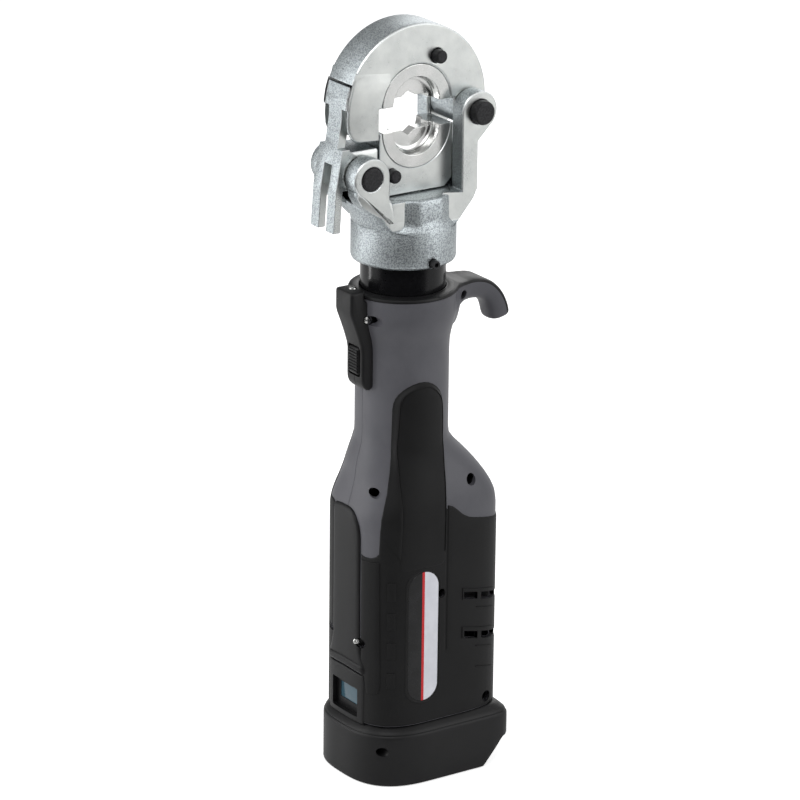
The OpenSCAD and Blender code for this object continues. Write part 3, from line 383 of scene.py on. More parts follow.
# Return spring: round steel wire wound in five turns with ground end turns, loose between rod and
# bore. The ram's stroke presses it together against the top of the tube.
low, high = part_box("return_spring")
wire, end_rise, windings = 1.4, 2.2, 5
coil = (high[0] - low[0]) / 2 / mm - wire
turns = np.linspace(0, 2 * math.pi * windings, windings * 28 + 1)
base, top = low[2] / mm + wire, high[2] / mm - wire
lift = np.interp(turns, np.array((0, 0.75, 4.25, windings)) * 2 * math.pi,
                 (base, base + end_rise, top - end_rise, top))
ring = np.linspace(0, 2 * math.pi, 14, endpoint=False)
reach = coil + wire * np.cos(ring)
spring = lattice("return_coil", [
    np.stack((reach * math.cos(t), reach * math.sin(t), z + wire * np.sin(ring)), axis=1)
    for t, z in zip(turns, lift)])
settle(spring, metal("spring_steel", (0.20, 0.20, 0.21), (0.32, 0.32, 0.33), 0.3, 1800), "ram_body",
       "spring_steel", "return_spring")
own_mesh(spring)

# Handle shells. Two mouldings in grey glass-filled nylon, split down the middle and screwed together
# over the works. They flare out round the cylinder and widen into the lower body.
shoulder = ((0, 1, 1, 1), (0.12, 0.93, 0.985, 0.95), (0.235, 0.79, 0.92, 0.86), (0.37, 0.61, 0.80, 0.675),
            (0.51, 0.47, 0.64, 0.455), (0.63, 0.40, 0.475, 0.26), (0.745, 0.29, 0.30, 0.117),
            (0.86, 0.14, 0.12, 0.026), (1, 0, 0, 0))
flare = ((0, 0), (0.17, 0.04), (0.35, 0.27), (0.52, 0.68), (0.69, 0.94), (1, 1))
foot_z, body_z, shoulder_z, shoulder_h, flare_z, flare_h = 39, 90, 150, 43, 238, 34.8
# sections: reach to the nose and to the hinge side, half width, bluntness of either end
foot = np.array((34.5, 49.3, 33, 3, 4.5))
waist = np.array((25.3, 25.3, 25.3, 2, 2))
crown = np.array((29, 29, 29, 2, 2))
levels = [(foot_z, *foot), (body_z, *foot)]
for h, a, b, c in shoulder:
    levels.append((shoulder_z + shoulder_h * h, *(waist + (foot - waist) * np.array((a, b, c, a, b)))))
for h, k in flare:
    levels.append((flare_z + flare_h * h, *(waist + (crown - waist) * k)))
levels = np.array(levels)


def glide(x, table):
    """Smooth columns through a table's rows without overshoot."""
    at, rows = table[:, 0], table[:, 1:]
    rise = np.diff(rows, axis=0) / np.diff(at)[:, None]
    slope = np.zeros_like(rows)
    same = rise[:-1] * rise[1:] > 0
    slope[1:-1][same] = (2 * rise[:-1] * rise[1:] / np.where(same, rise[:-1] + rise[1:], 1))[same]
    x = np.clip(np.asarray(x, float), at[0], at[-1])
    i = np.clip(np.searchsorted(at, x, side="right") - 1, 0, len(at) - 2)
    h = (at[i + 1] - at[i])[:, None]
    t = (x - at[i])[:, None] / h
    return ((1 + 2 * t) * (1 - t) ** 2 * rows[i] + t * (1 - t) ** 2 * h * slope[i]
            + t * t * (3 - 2 * t) * rows[i + 1] + t * t * (t - 1) * h * slope[i + 1])


def superellipse(angle, z, front, rear, half, blunt_front, blunt_rear):
    c, s = np.cos(np.radians(angle)), np.sin(np.radians(angle))
    end = np.where(c < 0, front, rear)
    blunt = np.where(c < 0, blunt_front, blunt_rear)
    radius = ((np.abs(c) / end) ** blunt + (np.abs(s) / half) ** blunt) ** (-1 / blunt)
    return np.stack((radius * c, radius * s, np.asarray(z, float)), axis=1)


def housing(angle, z):
    """Points of the handle's outside at angles (180 the nose, -90 the label side) and heights in mm."""
    return superellipse(angle, z, *glide(z, levels).T)


def outward(angle, z):
    """The handle's unit normals there."""
    e = 0.05
    n = np.cross(housing(angle + e, z) - housing(angle - e, z), housing(angle, z + e) - housing(angle, z - e))
    return n / np.linalg.norm(n, axis=1)[:, None]


handle_rows = np.concatenate((np.arange(37, 150, 11.3), np.arange(151, 193, 2.1), np.arange(196, 238, 7),
                              np.arange(238, 272, 2.1)))


def sheet(name, points):
    """A flat face with the given corners."""
    bpy.ops.object.select_all(action="DESELECT")
    bpy.ops.mesh.primitive_circle_add(vertices=len(points), fill_type="NGON")
    piece = bpy.context.object
    piece.name = name
    for vertex, point in zip(piece.data.vertices, points):
        vertex.co = point
    piece.data.update()
    return piece


def moulding(name, line, edge, back, step=3.0, fade=None):
    """A sheet on the handle, drawn flat and then wrapped. line: its outline in degrees and heights; edge:
    steps from the rim inwards as (inset, rise) in mm; back: its thickness behind; step: the spacing of its
    columns; fade: shares of the rise by height."""
    line = np.asarray(line, float)
    flat_r = 30
    s, z = np.radians(line[:, 0]) * flat_r, line[:, 1]
    if np.sum(s * np.roll(z, -1) - z * np.roll(s, -1)) < 0:
        s, z = s[::-1], z[::-1]
    piece = sheet(name, [(a, b, edge[0][1] - back) for a, b in zip(s, z)])
    face_down = piece.data.polygons[0].normal.z < 0
    open_mesh()
    if face_down:
        bpy.ops.mesh.flip_normals()
    bpy.ops.mesh.extrude_region_move(TRANSFORM_OT_translate={"value": (0, 0, back)})
    for (a0, h0), (a1, h1) in zip(edge, edge[1:]):
        bpy.ops.mesh.inset(thickness=a1 - a0, depth=h1 - h0)
    for cut in np.arange(math.ceil(s.min() / step) * step, s.max(), step):
        bpy.ops.mesh.select_all(action="SELECT")
        bpy.ops.mesh.bisect(plane_co=(cut, 0, 0), plane_no=(1, 0, 0))
    for cut in handle_rows[(handle_rows > z.min()) & (handle_rows < z.max())]:
        bpy.ops.mesh.select_all(action="SELECT")
        bpy.ops.mesh.bisect(plane_co=(0, cut, 0), plane_no=(0, 1, 0))
    close_mesh()
    spots = np.empty(len(piece.data.vertices) * 3)
    piece.data.vertices.foreach_get("co", spots)
    spots = spots.reshape(-1, 3)
    angle, height, rise = np.degrees(spots[:, 0] / flat_r), spots[:, 1], spots[:, 2]
    if fade:
        rise = rise * np.interp(height, *zip(*fade))
    spots = (housing(angle, height) + outward(angle, height) * rise[:, None]) * mm
    piece.data.vertices.foreach_set("co", spots.ravel())
    piece.data.update()
    open_mesh()
    bpy.ops.mesh.normals_make_consistent(inside=False)
    close_mesh()
    return piece


def bar(x, z, radius, y0, y1, turn=0.0, sides=32):
    """A round bar along Y, turned about its middle by degrees where asked, used to bore holes."""
    bpy.ops.mesh.primitive_cylinder_add(vertices=sides, radius=radius * mm, depth=abs(y1 - y0) * mm,
                                        location=(x * mm, (y0 + y1) / 2 * mm, z * mm),
                                        rotation=(math.pi / 2, 0, math.radians(turn)))
    return bpy.context.object


def block(low, high, edge=0.0):
    """A block between two corners in mm, its edges rounded where asked, used to cut or as a blank."""
    low, high = np.array(low, float), np.array(high, float)
    bpy.ops.mesh.primitive_cube_add(size=1, location=(low + high) / 2 * mm)
    piece = bpy.context.object
    piece.scale = (high - low) * mm
    bpy.ops.object.transform_apply(location=True, rotation=True, scale=True)
    if edge:
        open_mesh()
        bpy.ops.mesh.bevel(offset=edge * mm, segments=3, affect="EDGES")
        close_mesh()
    return piece


def carve(piece, *cutters, how="DIFFERENCE"):
    """Cuts the cutters from a piece one by one, or joins them to it, and removes them."""
    for cutter in cutters:
        bpy.context.view_layer.objects.active = piece
        tool = piece.modifiers.new("carve", "BOOLEAN")
        tool.operation = how
        tool.solver = "EXACT"
        tool.object = cutter
        bpy.ops.object.modifier_apply(modifier="carve")
        bpy.data.objects.remove(cutter)


def plate(name, line, y0, y1, edge, segments=3):
    """A slab along Y with the outline line in X and Z, both rims rounded by edge, in mm."""
    piece = sheet(name, [(x * mm, y0 * mm, z * mm) for x, z in line])
    open_mesh()
    bpy.ops.mesh.extrude_region_move(TRANSFORM_OT_translate={"value": (0, (y1 - y0) * mm, 0)})
    bpy.ops.mesh.select_all(action="SELECT")
    bpy.ops.mesh.normals_make_consistent(inside=False)
    close_mesh()
    if edge:
        marks = [abs(piece.data.vertices[a].co.y - piece.data.vertices[b].co.y) < 1e-6
                 for a, b in (e.vertices for e in piece.data.edges)]
        bpy.ops.object.mode_set(mode="EDIT")
        bpy.ops.mesh.select_mode(type="EDGE")
        bpy.ops.mesh.select_all(action="DESELECT")
        close_mesh()
        piece.data.edges.foreach_set("select", marks)
        bpy.ops.object.mode_set(mode="EDIT")
        bpy.ops.mesh.bevel(offset=edge * mm, segments=segments, affect="EDGES", clamp_overlap=False)
        close_mesh()
    return piece


def seam_bore(side):
    """The recess for the nose cover's screw, turned to the corner in front and straight behind."""
    if side < 0:
        return bar(-34, seam_z, 2.8, -17.5, -8.5, turn=-34)
    return bar(-33.4, seam_z, 2.1, 40, 8.5)


def vent_cutters(side):
    """Four slanting slots through one half; the outer ones run round the corner."""
    fall, high, floor_y = 0.237, 4.2, 22
    cutters = []
    for x0, x1, z in ((19.9, 29.2, 105.4), (32, 50, 102.5), (20.4, 29.7, 82.3), (32.5, 50, 79.4)):
        drop = fall * (x1 - x0)
        line = [(x0, z), (x1, z - drop), (x1, z - high - drop), (x0, z - high)]
        cutters.append(plate("vent_cut", line, clear_of * side, floor_y * side, 0))
    return cutters


# where cutters start outside the handle, the height of the nose cover's screws, the ends of the shells
clear_of, seam_z, shell_foot, shell_top = 60, 80.4, 34.1, 272.7
grey_plastic = plastic("grey_plastic", (0.071, 0.071, 0.081), (0.088, 0.088, 0.099), 0.46, 0.28)
# screw holes in the label side: x, height, radius, distance of the screw's head from the middle
screw_spots = ((26.4, 167.6, 3.2, 11), (-24.2, 166.6, 2.75, 7.6), (4.8, 107.8, 2.6, 26),
               (37.2, 39.4, 3.2, 11))
for side, node in ((-1, "front_shell"), (1, "rear_shell")):
    half = np.array([(0.12, shell_foot), (0.12, shell_top), (179.88, shell_top), (179.88, shell_foot)])
    shell = moulding(node.replace("shell", "half"), half * (side, 1), [(0, -0.08), (0.12, 0)], 2.6, 2.6)
    trigger_window = block((-40, -6.2, 228.5), (-20, 6.2, 247))
    display_window = block((-45, -12.6, 35.8), (-25, 12.6, 54.2))
    carve(shell, trigger_window, bar(-26.4, 261.5, 2.9, 40 * side, 7.7 * side), seam_bore(side),
          display_window)
    if side < 0:
        carve(shell, bar(-26.8, 166.6, 2.75, -28, 0, turn=-22),
              *[bar(x, z, r, -clear_of, 3 - deep) for x, z, r, deep in screw_spots[:1] + screw_spots[2:]])
    carve(shell, *vent_cutters(side))
    settle(shell, grey_plastic, "handle", "grey_plastic", node)

# Hook. Part of both shells, half round below so that it sits well on a belt or a rail, flat on top
# where the cap's saddle lies on it.
# rows: its outer edge's x and height, its inner edge's x and height, half width
hook_rows = np.array((
    (22.0, 271.8, 22.0, 247.0, 19), (26.0, 271.8, 27.2, 247.4, 15), (29.5, 271.6, 29.5, 249.4, 12),
    (33.0, 271.5, 30.2, 253.4, 10.3), (37.0, 271.5, 32.4, 257.0, 9.4), (41.5, 271.4, 36.2, 259.6, 9),
    (46.0, 270.7, 41.0, 260.4, 9), (50.2, 269.0, 45.4, 260.0, 9), (54.0, 266.2, 49.0, 258.4, 9),
    (57.4, 262.5, 51.6, 255.4, 9), (60.0, 258.3, 52.8, 252.2, 9), (61.7, 254.0, 53.4, 249.6, 9),
    (62.4, 250.8, 54.0, 247.8, 8.8), (61.8, 248.9, 55.0, 246.7, 8), (60.4, 247.7, 56.6, 246.3, 5.6),
    (59.2, 247.2, 58.0, 246.5, 2)))


def smooth(rows, count):
    """A smooth run of more rows through a table's rows."""
    at = np.arange(len(rows), dtype=float)
    return glide(np.linspace(0, at[-1], count), np.column_stack((at, rows)))


fine_rows = smooth(hook_rows, 76)
bend = np.linspace(0, math.pi, 25)
deep = np.abs(np.sin(bend)) ** 0.8
hook_mesh = []
for ox, oz, ix, iz, half in fine_rows:
    wide = np.sign(np.cos(bend)) * np.abs(np.cos(bend)) ** 0.8 * half
    hook_mesh.append([(ox + (ix - ox) * d, -w, oz + (iz - oz) * d) for d, w in zip(deep, wide)])
hook = lattice("belt_hook", hook_mesh)
hook_screw = (32.7, 265.8, 2.6, 4.5)
carve(hook, bar(*hook_screw[:3], -20, -hook_screw[3]))
settle(hook, grey_plastic, "handle", "grey_plastic", "front_shell", "rear_shell")

# Soft skin. Black thermoplastic rubber, overmoulded on the lower body and up the grip in one pad with
# a sloping border; it runs round a grey tongue beside the nose and ends in a wave behind.
def on_handle(turn, points):
    """Angles and heights at which the handle reaches points (across, up); across: mm along a level
    direction turned from +X."""
    u, z = points.T
    low, high = np.full(u.shape, -180.0 - turn), np.full(u.shape, 0.0 - turn)
    way = np.array((math.cos(math.radians(turn)), -math.sin(math.radians(turn))))
    for _ in range(44):
        middle = (low + high) / 2
        short = housing(middle, z)[:, :2] @ way < u
        low, high = np.where(short, middle, low), np.where(short, high, middle)
    return np.stack((middle, z), axis=1)


def drawn(turn, corners, closed=False):
    """A line on the handle, in degrees and heights, through points (across, up) in mm or, where the
    corner is rounded, (across, up, radius)."""
    line = []
    corners = [(*corner, 0)[:3] for corner in corners]
    before = corners[-1:] + corners[:-1]
    after = corners[1:] + corners[:1]
    for (bu, bz, _), (u, z, r), (au, az, _) in zip(before, corners, after):
        here, back, ahead = np.array((u, z)), np.array((bu - u, bz - z)), np.array((au - u, az - z))
        if not r:
            line.append(here)
            continue
        start = here + back / np.linalg.norm(back) * min(r, np.linalg.norm(back) * 0.49)
        end = here + ahead / np.linalg.norm(ahead) * min(r, np.linalg.norm(ahead) * 0.49)
        for t in np.linspace(0, 1, 7):
            line.append((1 - t) ** 2 * start + 2 * t * (1 - t) * here + t * t * end)
    fine = []
    for p, q in zip(line, line[1:] + line[:1] if closed else line[1:]):
        n = max(1, int(np.linalg.norm(q - p) / 2.5))
        fine += [p + (q - p) * k / n for k in range(n)]
    if not closed:
        fine.append(line[-1])
    return on_handle(turn, np.array(fine))


panel_turn = 17.5
apex = [(17.1, 213), (16.6, 217), (15, 220.8), (12.8, 223.6), (10.2, 225.7), (7.8, 226.9), (5.0, 227.5),
        (2, 227.4), (-1.2, 226.5), (-4, 225.2), (-6.6, 223.4), (-8.8, 221.2), (-10.4, 218.8), (-11.4, 216),
        (-11.9, 212.5)]
left_edge = [(-12.1, 200), (-12.3, 193), (-12.8, 186.4), (-14.1, 178), (-16.1, 167.5), (-18.4, 160),
             (-20, 154), (-20.7, 147), (-20.9, 141)]
up_nose = drawn(90, [(14.4, 34.3), (13.2, 70), (13.0, 132.2)])
tongue = drawn(90, [(14.0, 131.5), (15.9, 131), (18.6, 131.1), (20.6, 131.5), (22.4, 132.6), (23.6, 134.2)])
plain = drawn(90, [(13.0, 134), (13.0, 153.6), (16, 154.6), (20.6, 154.4)])
over_top = drawn(panel_turn, apex[::-1])
down_right = drawn(panel_turn, [
    (17.1, 210), (17.2, 196), (17.9, 184), (18.0, 170), (17.5, 158), (17.5, 75), (17.75, 74.4), (18.0, 75),
    (18.0, 157.4)])
wave = drawn(0, [
    (10, 157.2), (12.3, 156.2), (14.6, 154.4), (16.5, 152.6), (18.4, 150.9), (20.4, 149.5), (23, 148.2),
    (26.4, 147.2), (34, 145.5), (43, 143.5)])
rear_line = np.array([(-12, 143), (-6, 142.8)] + [(-0.15, z) for z in (142.7, 120, 100, 80, 60, 34.3)])
along_foot = np.stack((np.linspace(-3, -156, 52), np.full(52, 34.3)), axis=1)
soft_black = plastic("soft_black", (0.0028, 0.0028, 0.0030), (0.0054, 0.0054, 0.0057), 0.56, 0.17, 2000, 0.2)
# the border's foot and its top edge, across and up
border = np.array((
    (-20.3, 146, -10.4, 132), (-18.2, 159, -9.6, 152), (-15.6, 167.5, -9.1, 164.5),
    (-13.6, 178, -9.3, 176.4), (-12.3, 186.4, -9.3, 186.6), (-11.8, 196, -8.7, 196),
    (-11.6, 206, -8.1, 206), (-11.2, 212.4, -7.7, 212.6), (-10.7, 216.4, -7.4, 216.4),
    (-9.2, 219.6, -6.4, 219.2), (-7, 222.2, -4.8, 221.4), (-4, 224.4, -2.2, 223.3), (0, 226.2, 1, 224.6),
    (5, 226.9, 5, 225), (8.4, 226.1, 8, 224.2), (11.4, 224, 10.6, 222.4), (14.2, 220.6, 13, 219.4),
    (15.9, 216.8, 14.7, 216), (16.5, 212.4, 15.3, 212), (16.7, 204, 15.6, 204), (16.7, 196, 15.6, 196),
    (17.4, 184, 16.3, 184), (17.5, 170, 16.5, 170), (17.1, 158, 16.2, 158), (17.1, 132, 16.2, 132)))
border = smooth(border, 121)
outer, inner = on_handle(panel_turn, border[:, :2]), on_handle(panel_turn, border[:, 2:])
# share of the way from foot to top edge and rise there in mm; share of the rise by height
slope = ((-0.02, 0.1), (0, 0.5), (0.22, 0.75), (0.5, 1.3), (0.8, 1.95), (0.92, 2.1), (1, 2.0),
         (1.04, 1.6), (1.04, 0.1))
fade = ((124, 0.34), (150, 0.62), (185, 1))
pad_foot = drawn(panel_turn, [(16.2, 132), (16.1, 124.5, 3), (-10.4, 124.5, 3), (-10.4, 132)])
pad_line = np.concatenate((pad_foot[1:-1], inner))
for side, node in ((1, "front_grip"), (-1, "rear_grip")):
    turn_in, first = (tongue, -1) if side > 0 else (plain, -3)
    skin_line = np.concatenate((up_nose, turn_in, drawn(panel_turn, left_edge[first::-1]), over_top,
                                down_right, wave, rear_line, along_foot))
    skin = moulding(node.replace("grip", "skin"), skin_line * (side, 1),
                    [(0, -1.0), (0.16, 0.15), (0.4, 0.4), (0.8, 0.5)], 1.2, 2.6)
    if side > 0:
        carve(skin, *[bar(*spot[:3], -clear_of, -10) for spot in screw_spots[2:]])
    carve(skin, *vent_cutters(-side), seam_bore(-side))
    # a near-flush black strip along the panel's right edge: painted shade for the groove between skin and
    # shell
    groove_shade = moulding(node.replace("grip", "groove_shade"), drawn(panel_turn, [
        (16.4, 72), (19.2, 72), (19.2, 155.6), (16.4, 155.6)], closed=True) * (side, 1),
        [(0, -0.3), (0.1, 0.1)], 0.5)
    rows = []
    t, h = np.array(slope).T
    for (a0, z0), (a1, z1) in zip(outer, inner):
        angle, z = (a0 + (a1 - a0) * t) * side, z0 + (z1 - z0) * t
        rise = np.where(h > 0.5, 0.5 + (h - 0.5) * np.interp(z, *zip(*fade)) * (0.7 + 0.3 * side), h)
        rows.append(housing(angle, z) + outward(angle, z) * rise[:, None] * side)
    ridge = lattice(node.replace("grip", "border"), rows)
    pad = moulding(node.replace("grip", "pad"), pad_line * (side, 1),
                   [(0, 0.6), (0.05, 1.5), (0.3, 1.85), (0.9, 2.0)], 0.6, 2.6,
                   fade=[(z, k * (0.75 + 0.25 * side)) for z, k in fade])
    for piece in (skin, groove_shade, ridge, pad):
        settle(piece, soft_black, "handle", "soft_black", node)

# Trim on the skin: the insert under the tongue, four shallow fields in a column and three ledges
# behind. They are moulded with the skin in the same rubber.
insert_line = np.concatenate((
    drawn(90, [(14.0, 66), (13.8, 129)]),
    drawn(panel_turn, [(-20.4, 129.4), (-19.7, 58), (-20.1, 55), (-21.4, 53.2), (-23.4, 52.4)]),
    drawn(90, [(18.4, 52), (17.2, 56), (16.4, 62)])))
trim = [("insert", insert_line)]
for i, (a, b) in enumerate(((56.7, 65.8), (73.8, 83.5), (90.9, 100.5), (107.4, 118.2))):
    trim.append(("field_%d" % i, np.array([(-134, a), (-134, b), (-127, b), (-127, a)])))
for i, z in enumerate((94.9, 72.1, 60)):
    edges = ([(28.4, z), (41, z - 3.3)], [(41, z - 4), (28.4, z - 0.7)])
    trim.append(("ledge_%d" % i, np.concatenate([drawn(0, edge) for edge in edges])))
for i, z in enumerate((107.8, 85.2)):
    edges = ([(18.6, z), (41.8, z - 5.4)], [(41.8, z - 6.1), (19.3, z - 0.85)],
             [(19.3, z - 7.0), (18.6, z - 6.9)])
    trim.append(("frame_%d" % i, np.concatenate([drawn(0, edge) for edge in edges])))
for side, node in ((1, "front_grip"), (-1, "rear_grip")):
    for name, line in trim[0 if side > 0 else 1:]:
        strip = moulding("%s_%s" % (node.split("_")[0], name), line * (side, 1),
                         [(0, 0.3), (0.14, 0.85), (0.34, 0.98)], 0.6, 2.6)
        if side > 0 and name == "insert":
            carve(strip, seam_bore(-1))
        settle(strip, soft_black, "handle", "soft_black", node)

# Label. A printed polyester film in a capsule-shaped bed with a raised rim: dark on the nose side, a
# thin red line, pale on the other side. Nothing is printed on it.
label_x, label_z, label_r, straight = -6.5, 85, 9.35, 28
capsule = [(label_x + label_r * math.cos(t),
            label_z + (straight if math.sin(t) >= 0 else -straight) + label_r * math.sin(t))
           for t in np.linspace(0, 2 * math.pi, 40, endpoint=False)]
rim_line = drawn(0, [(label_x + (x - label_x) * 1.2, label_z + (z - label_z) * 1.05) for x, z in capsule],
                 closed=True)
rim = moulding("label_rim", rim_line, [(0, 0.4), (0.35, 0.75), (0.9, 0.8), (1.4, 0.52)], 0.5, 2.6)
carve(rim, bar(*screw_spots[2][:3], -clear_of, -10))
settle(rim, soft_black, "handle", "soft_black", "front_grip")


def label_look(place, facing):
    across = place.part("X")
    fibre = place.noise(1800, 2)
    cloud = place.noise(90, 4, 0.6)
    dark = cloud.between(0.35, 0.7).mix((0.004, 0.004, 0.0045, 1), (0.010, 0.010, 0.011, 1))
    pale = cloud.between(0.3, 0.7).mix((0.60, 0.61, 0.66, 1), (0.68, 0.69, 0.74, 1))
    red = across.between(-0.00768, -0.00762).mix(dark, (0.52, 0.02, 0.025, 1))
    return {"Base Color": across.between(-0.00612, -0.00606).mix(red, pale),
            "Roughness": 0.2 + fibre * 0.1 + across.between(-0.0077, -0.006) * 0.12,
            "Specular IOR Level": 0.25, "Normal": fibre.bump(0.03, 0.00005)}


label = moulding("label_film", drawn(0, capsule, closed=True), [(0, 0.45), (0.12, 0.60), (0.4, 0.62)],
                 0.4, 2.6)
settle(label, finish("label_film", label_look), "handle", "label_film", "label_plate")

# Nose cover and display frame. Black moulded plastic over the board; the cover is held by a screw on
# each side, and the frame under its lip has a sunk window for the liquid crystal display.
arch = [(12.6 * math.cos(t) ** 0.9, 139 + 16.6 * math.sin(t) ** 0.9)
        for t in np.linspace(0.02, math.pi / 2, 14)]
arch += [(-6, 155.5), (-11, 154.8), (-12.6, 153.6)]
nose_line = drawn(90, [
    (-12.8, 82), (-13.3, 76), (-14.6, 71.6), (-16.3, 68.2), (-16.9, 65.6), (-16.4, 62.6), (-8, 63.4),
    (0, 63.7), (8, 63.4), (16.4, 62.6), (16.9, 65.6), (16.3, 68.2), (14.6, 71.6), (13.3, 76), (12.8, 82),
    (12.6, 110)] + arch + [(-12.6, 110)], closed=True)
nose = moulding("nose_hood", nose_line,
                [(0, -1.0), (0.12, 0.5), (0.45, 1.0), (1.0, 1.3), (1.8, 1.42)], 1.6, 2.0)
carve(nose, seam_bore(-1), seam_bore(1))
lip_line = drawn(90, [
    (-16.2, 62.9), (-8, 63.6), (0, 63.9), (8, 63.6), (16.2, 62.9), (16.6, 65.4), (15.6, 67.6), (8, 68.6),
    (0, 69), (-8, 68.6), (-15.6, 67.6), (-16.6, 65.4)], closed=True)
brow = moulding("nose_brow", lip_line, [(0, 1.0), (0.4, 1.7), (1.0, 2.05), (1.6, 2.15)], 0.8, 2.0)
frame_line = drawn(90, [
    (-16.2, 33.2), (16.2, 33.2), (16.7, 58), (16.2, 61.8), (8, 62.6), (0, 62.9), (-8, 62.6), (-16.2, 61.8),
    (-16.7, 58)], closed=True)
bezel = moulding("display_bezel", frame_line, [(0, -1.0), (0.12, 0.5), (0.4, 0.9), (1.0, 1.1)], 4.4, 2.0)
carve(bezel, block((-45, -12, 36.4), (-25, 12, 53.6), 0.8))
mask = block((-32.2, -12.8, 35.6), (-31.2, 12.8, 54.4), 0.3)
mask.name = "display_mask"
carve(mask, block((-45, -8.4, 41.4), (-25, 8.4, 50.6), 0.4))
for piece, node in ((nose, "nose_cover"), (brow, "nose_cover"), (bezel, "display_frame"),
                    (mask, "display_frame")):
    settle(piece, black_plastic, "handle", "black_plastic", node)


def display_look(place, facing):
    glow = place.noise(60, 2)
    return {"Base Color": glow.mix((0.02, 0.05, 0.07, 1), (0.04, 0.085, 0.11, 1)),
            "Emission Color": glow.mix((0.05, 0.11, 0.16, 1), (0.09, 0.17, 0.22, 1)),
            "Emission Strength": 0.12, "Roughness": 0.12 + glow * 0.08, "Coat Weight": 0.1,
            "Normal": glow.bump(0.02, 0.0001)}


panel = block((-31.8, -9.4, 38.4), (-30.6, 9.4, 51.6), 0.25)
panel.name = "display_panel"
settle(panel, finish("display_glass", display_look), "handle", "display_glass", "display_lens")

# Top cap. A black plastic ring round the tube, with a rim over the shells and a saddle that runs out along
# the top of the hook; their black is painted shade on the handle's top faces.
cap = turned("cap_ring_shade", [
    (23.4, 271), (23.4, 274.6), (23.7, 275.1), (24.4, 275.3), (26.6, 275.3), (27.9, 275.1), (28.9, 274.5),
    (29.3, 273.7), (29.3, 273.1), (29.0, 272.9), (28.6, 272.9), (28.6, 271)])
settle(cap, black_plastic, "handle", "black_plastic", "top_cap")
# the saddle is as wide as the ring up to root_x and narrows over blend_x; below bend_z it follows the hook
ring_r, root_x, blend_x, root_half, root_slope, hook_half, bend_z = 29.32, 21, 20, 20.46, 20.52, 9, 265
saddle_mesh = []
root_rows = [(x, 271.8, x, 247, 0) for x in np.linspace(4, 21.5, 15)]
for ox, oz, ix, iz, half in root_rows + [tuple(row) for row in fine_rows[1:68]]:
    thick = float(np.interp(ox, (26, 31, 36), (3.4, 2.5, 1.8))) if oz > bend_z else 1.8
    out = np.array((ox - ix, oz - iz)) / math.hypot(ox - ix, oz - iz)
    if ox < 41.5:
        out = np.array((0.0, 1.0))
    if ox < root_x:
        half = max(half, math.sqrt(ring_r ** 2 - ox ** 2))
    elif oz > bend_z:
        t = min((ox - root_x) / blend_x, 1)
        half = max(half, root_half * (1 + 2 * t) * (1 - t) ** 2 - root_slope * t * (1 - t) ** 2
                   + hook_half * t * t * (3 - 2 * t))
    lip = half + 0.05
    low_side = float(np.interp(ox, (root_x, 34), (1.2, -0.15)))
    flank = [(-lip, low_side), (-lip, thick - 1.4), (0.35 - lip, thick - 0.6), (1.4 - lip, thick)]
    section = flank + [(0, thick + 0.02)] + [(-w, h) for w, h in flank[::-1]] + [(0, low_side)]
    saddle_mesh.append([(ox + out[0] * h, w, oz + out[1] * h) for w, h in section])
saddle = lattice("hook_saddle_shade", saddle_mesh)
bpy.ops.mesh.primitive_cylinder_add(vertices=96, radius=23.45 * mm, depth=20 * mm, location=(0, 0, 272 * mm))
carve(saddle, bpy.context.object)
settle(saddle, black_plastic, "handle", "black_plastic", "top_cap")

# Switch cover and trigger. A black block screwed to the flare on the nose side, with a window for the
# ribbed slide of the trigger, which springs back from the switch behind it.
cover = plate("switch_hood", [
    (-19, 232), (-21.2, 227), (-22.6, 224), (-24.2, 222.2), (-26, 221.5), (-27.6, 221.9), (-29.2, 223.6),
    (-30.3, 226), (-30.6, 229), (-30.6, 243), (-31.2, 246.6), (-33, 252.4), (-35.4, 259), (-37.4, 264),
    (-38.1, 266.8), (-38.1, 276.2), (-37.8, 277.2), (-36.9, 277.7), (-29.7, 277.7), (-29.4, 272.6),
    (-24, 270), (-19, 268)], -7.9, 7.9, 1.6, 4)
carve(cover, block((-45, -5.6, 229), (-14, 5.6, 246.2), 1.8), bar(-27.6, 261.5, 2.6, -20, -6.6),
      bar(-27.6, 261.5, 2.6, 20, 6.6), block((-45, -0.15, 220), (-28, 0.15, 230)))
settle(cover, black_plastic, "handle", "black_plastic", "switch_cover")
slide = block((-31.3, -4.7, 229.9), (-22.4, 4.7, 245.3), 1.3)
slide.name = "trigger_slide"
for z in np.linspace(231.8, 243.4, 8):
    carve(slide, bar(-31.45, z, 0.55, -4.1, 4.1, sides=16), how="UNION")
settle(slide, black_plastic, "trigger_body", "black_plastic", "trigger")

# Screws. Pan heads with cross recesses, cold-headed steel: bright ones on the covers, and near-black ones at
# the bottom of the deep holes in the shells, their dark colour painted shade for those holes.
def lay(piece, spot, way):
    """Turns a piece from upright to the direction way and moves it to a spot in mm."""
    turn = Vector(way).to_track_quat("Z", "X").to_matrix()
    for vertex in piece.data.vertices:
        vertex.co = turn @ vertex.co + Vector(spot) * mm


def screw(name, radius, spot, way, material, node, well=0.0):
    """A screw head turned about its axis, its recess cut, laid along way at a spot in mm; well: the depth
    of a black sleeve round it, painted shade that darkens the hole it sits in."""
    head = turned(name, [
        (0.01, 0), (radius, 0), (radius, 0.5), (radius * 0.93, 0.85), (radius * 0.72, 1.15),
        (radius * 0.4, 1.32), (0.01, 1.38)], 28)
    wing, deep = radius * 0.62, radius * 0.17
    for x, y in ((wing, deep), (deep, wing)):
        carve(head, block((-x, -y, 0.55), (x, y, 3), 0.05))
    lay(head, spot, way)
    settle(head, material, "handle", "bright_screw", node)
    # the black sleeve lines the screw's hole: painted shade
    if well:
        bore = radius + slack
        cup = turned(name + "_well", [
            (bore, well), (bore + 0.5, well), (bore + 0.5, -0.7), (0.01, -0.7), (0.01, -0.05),
            (bore, -0.05)], 28)
        lay(cup, spot, way)
        settle(cup, black_plastic, "handle", "black_plastic", "front_shell")


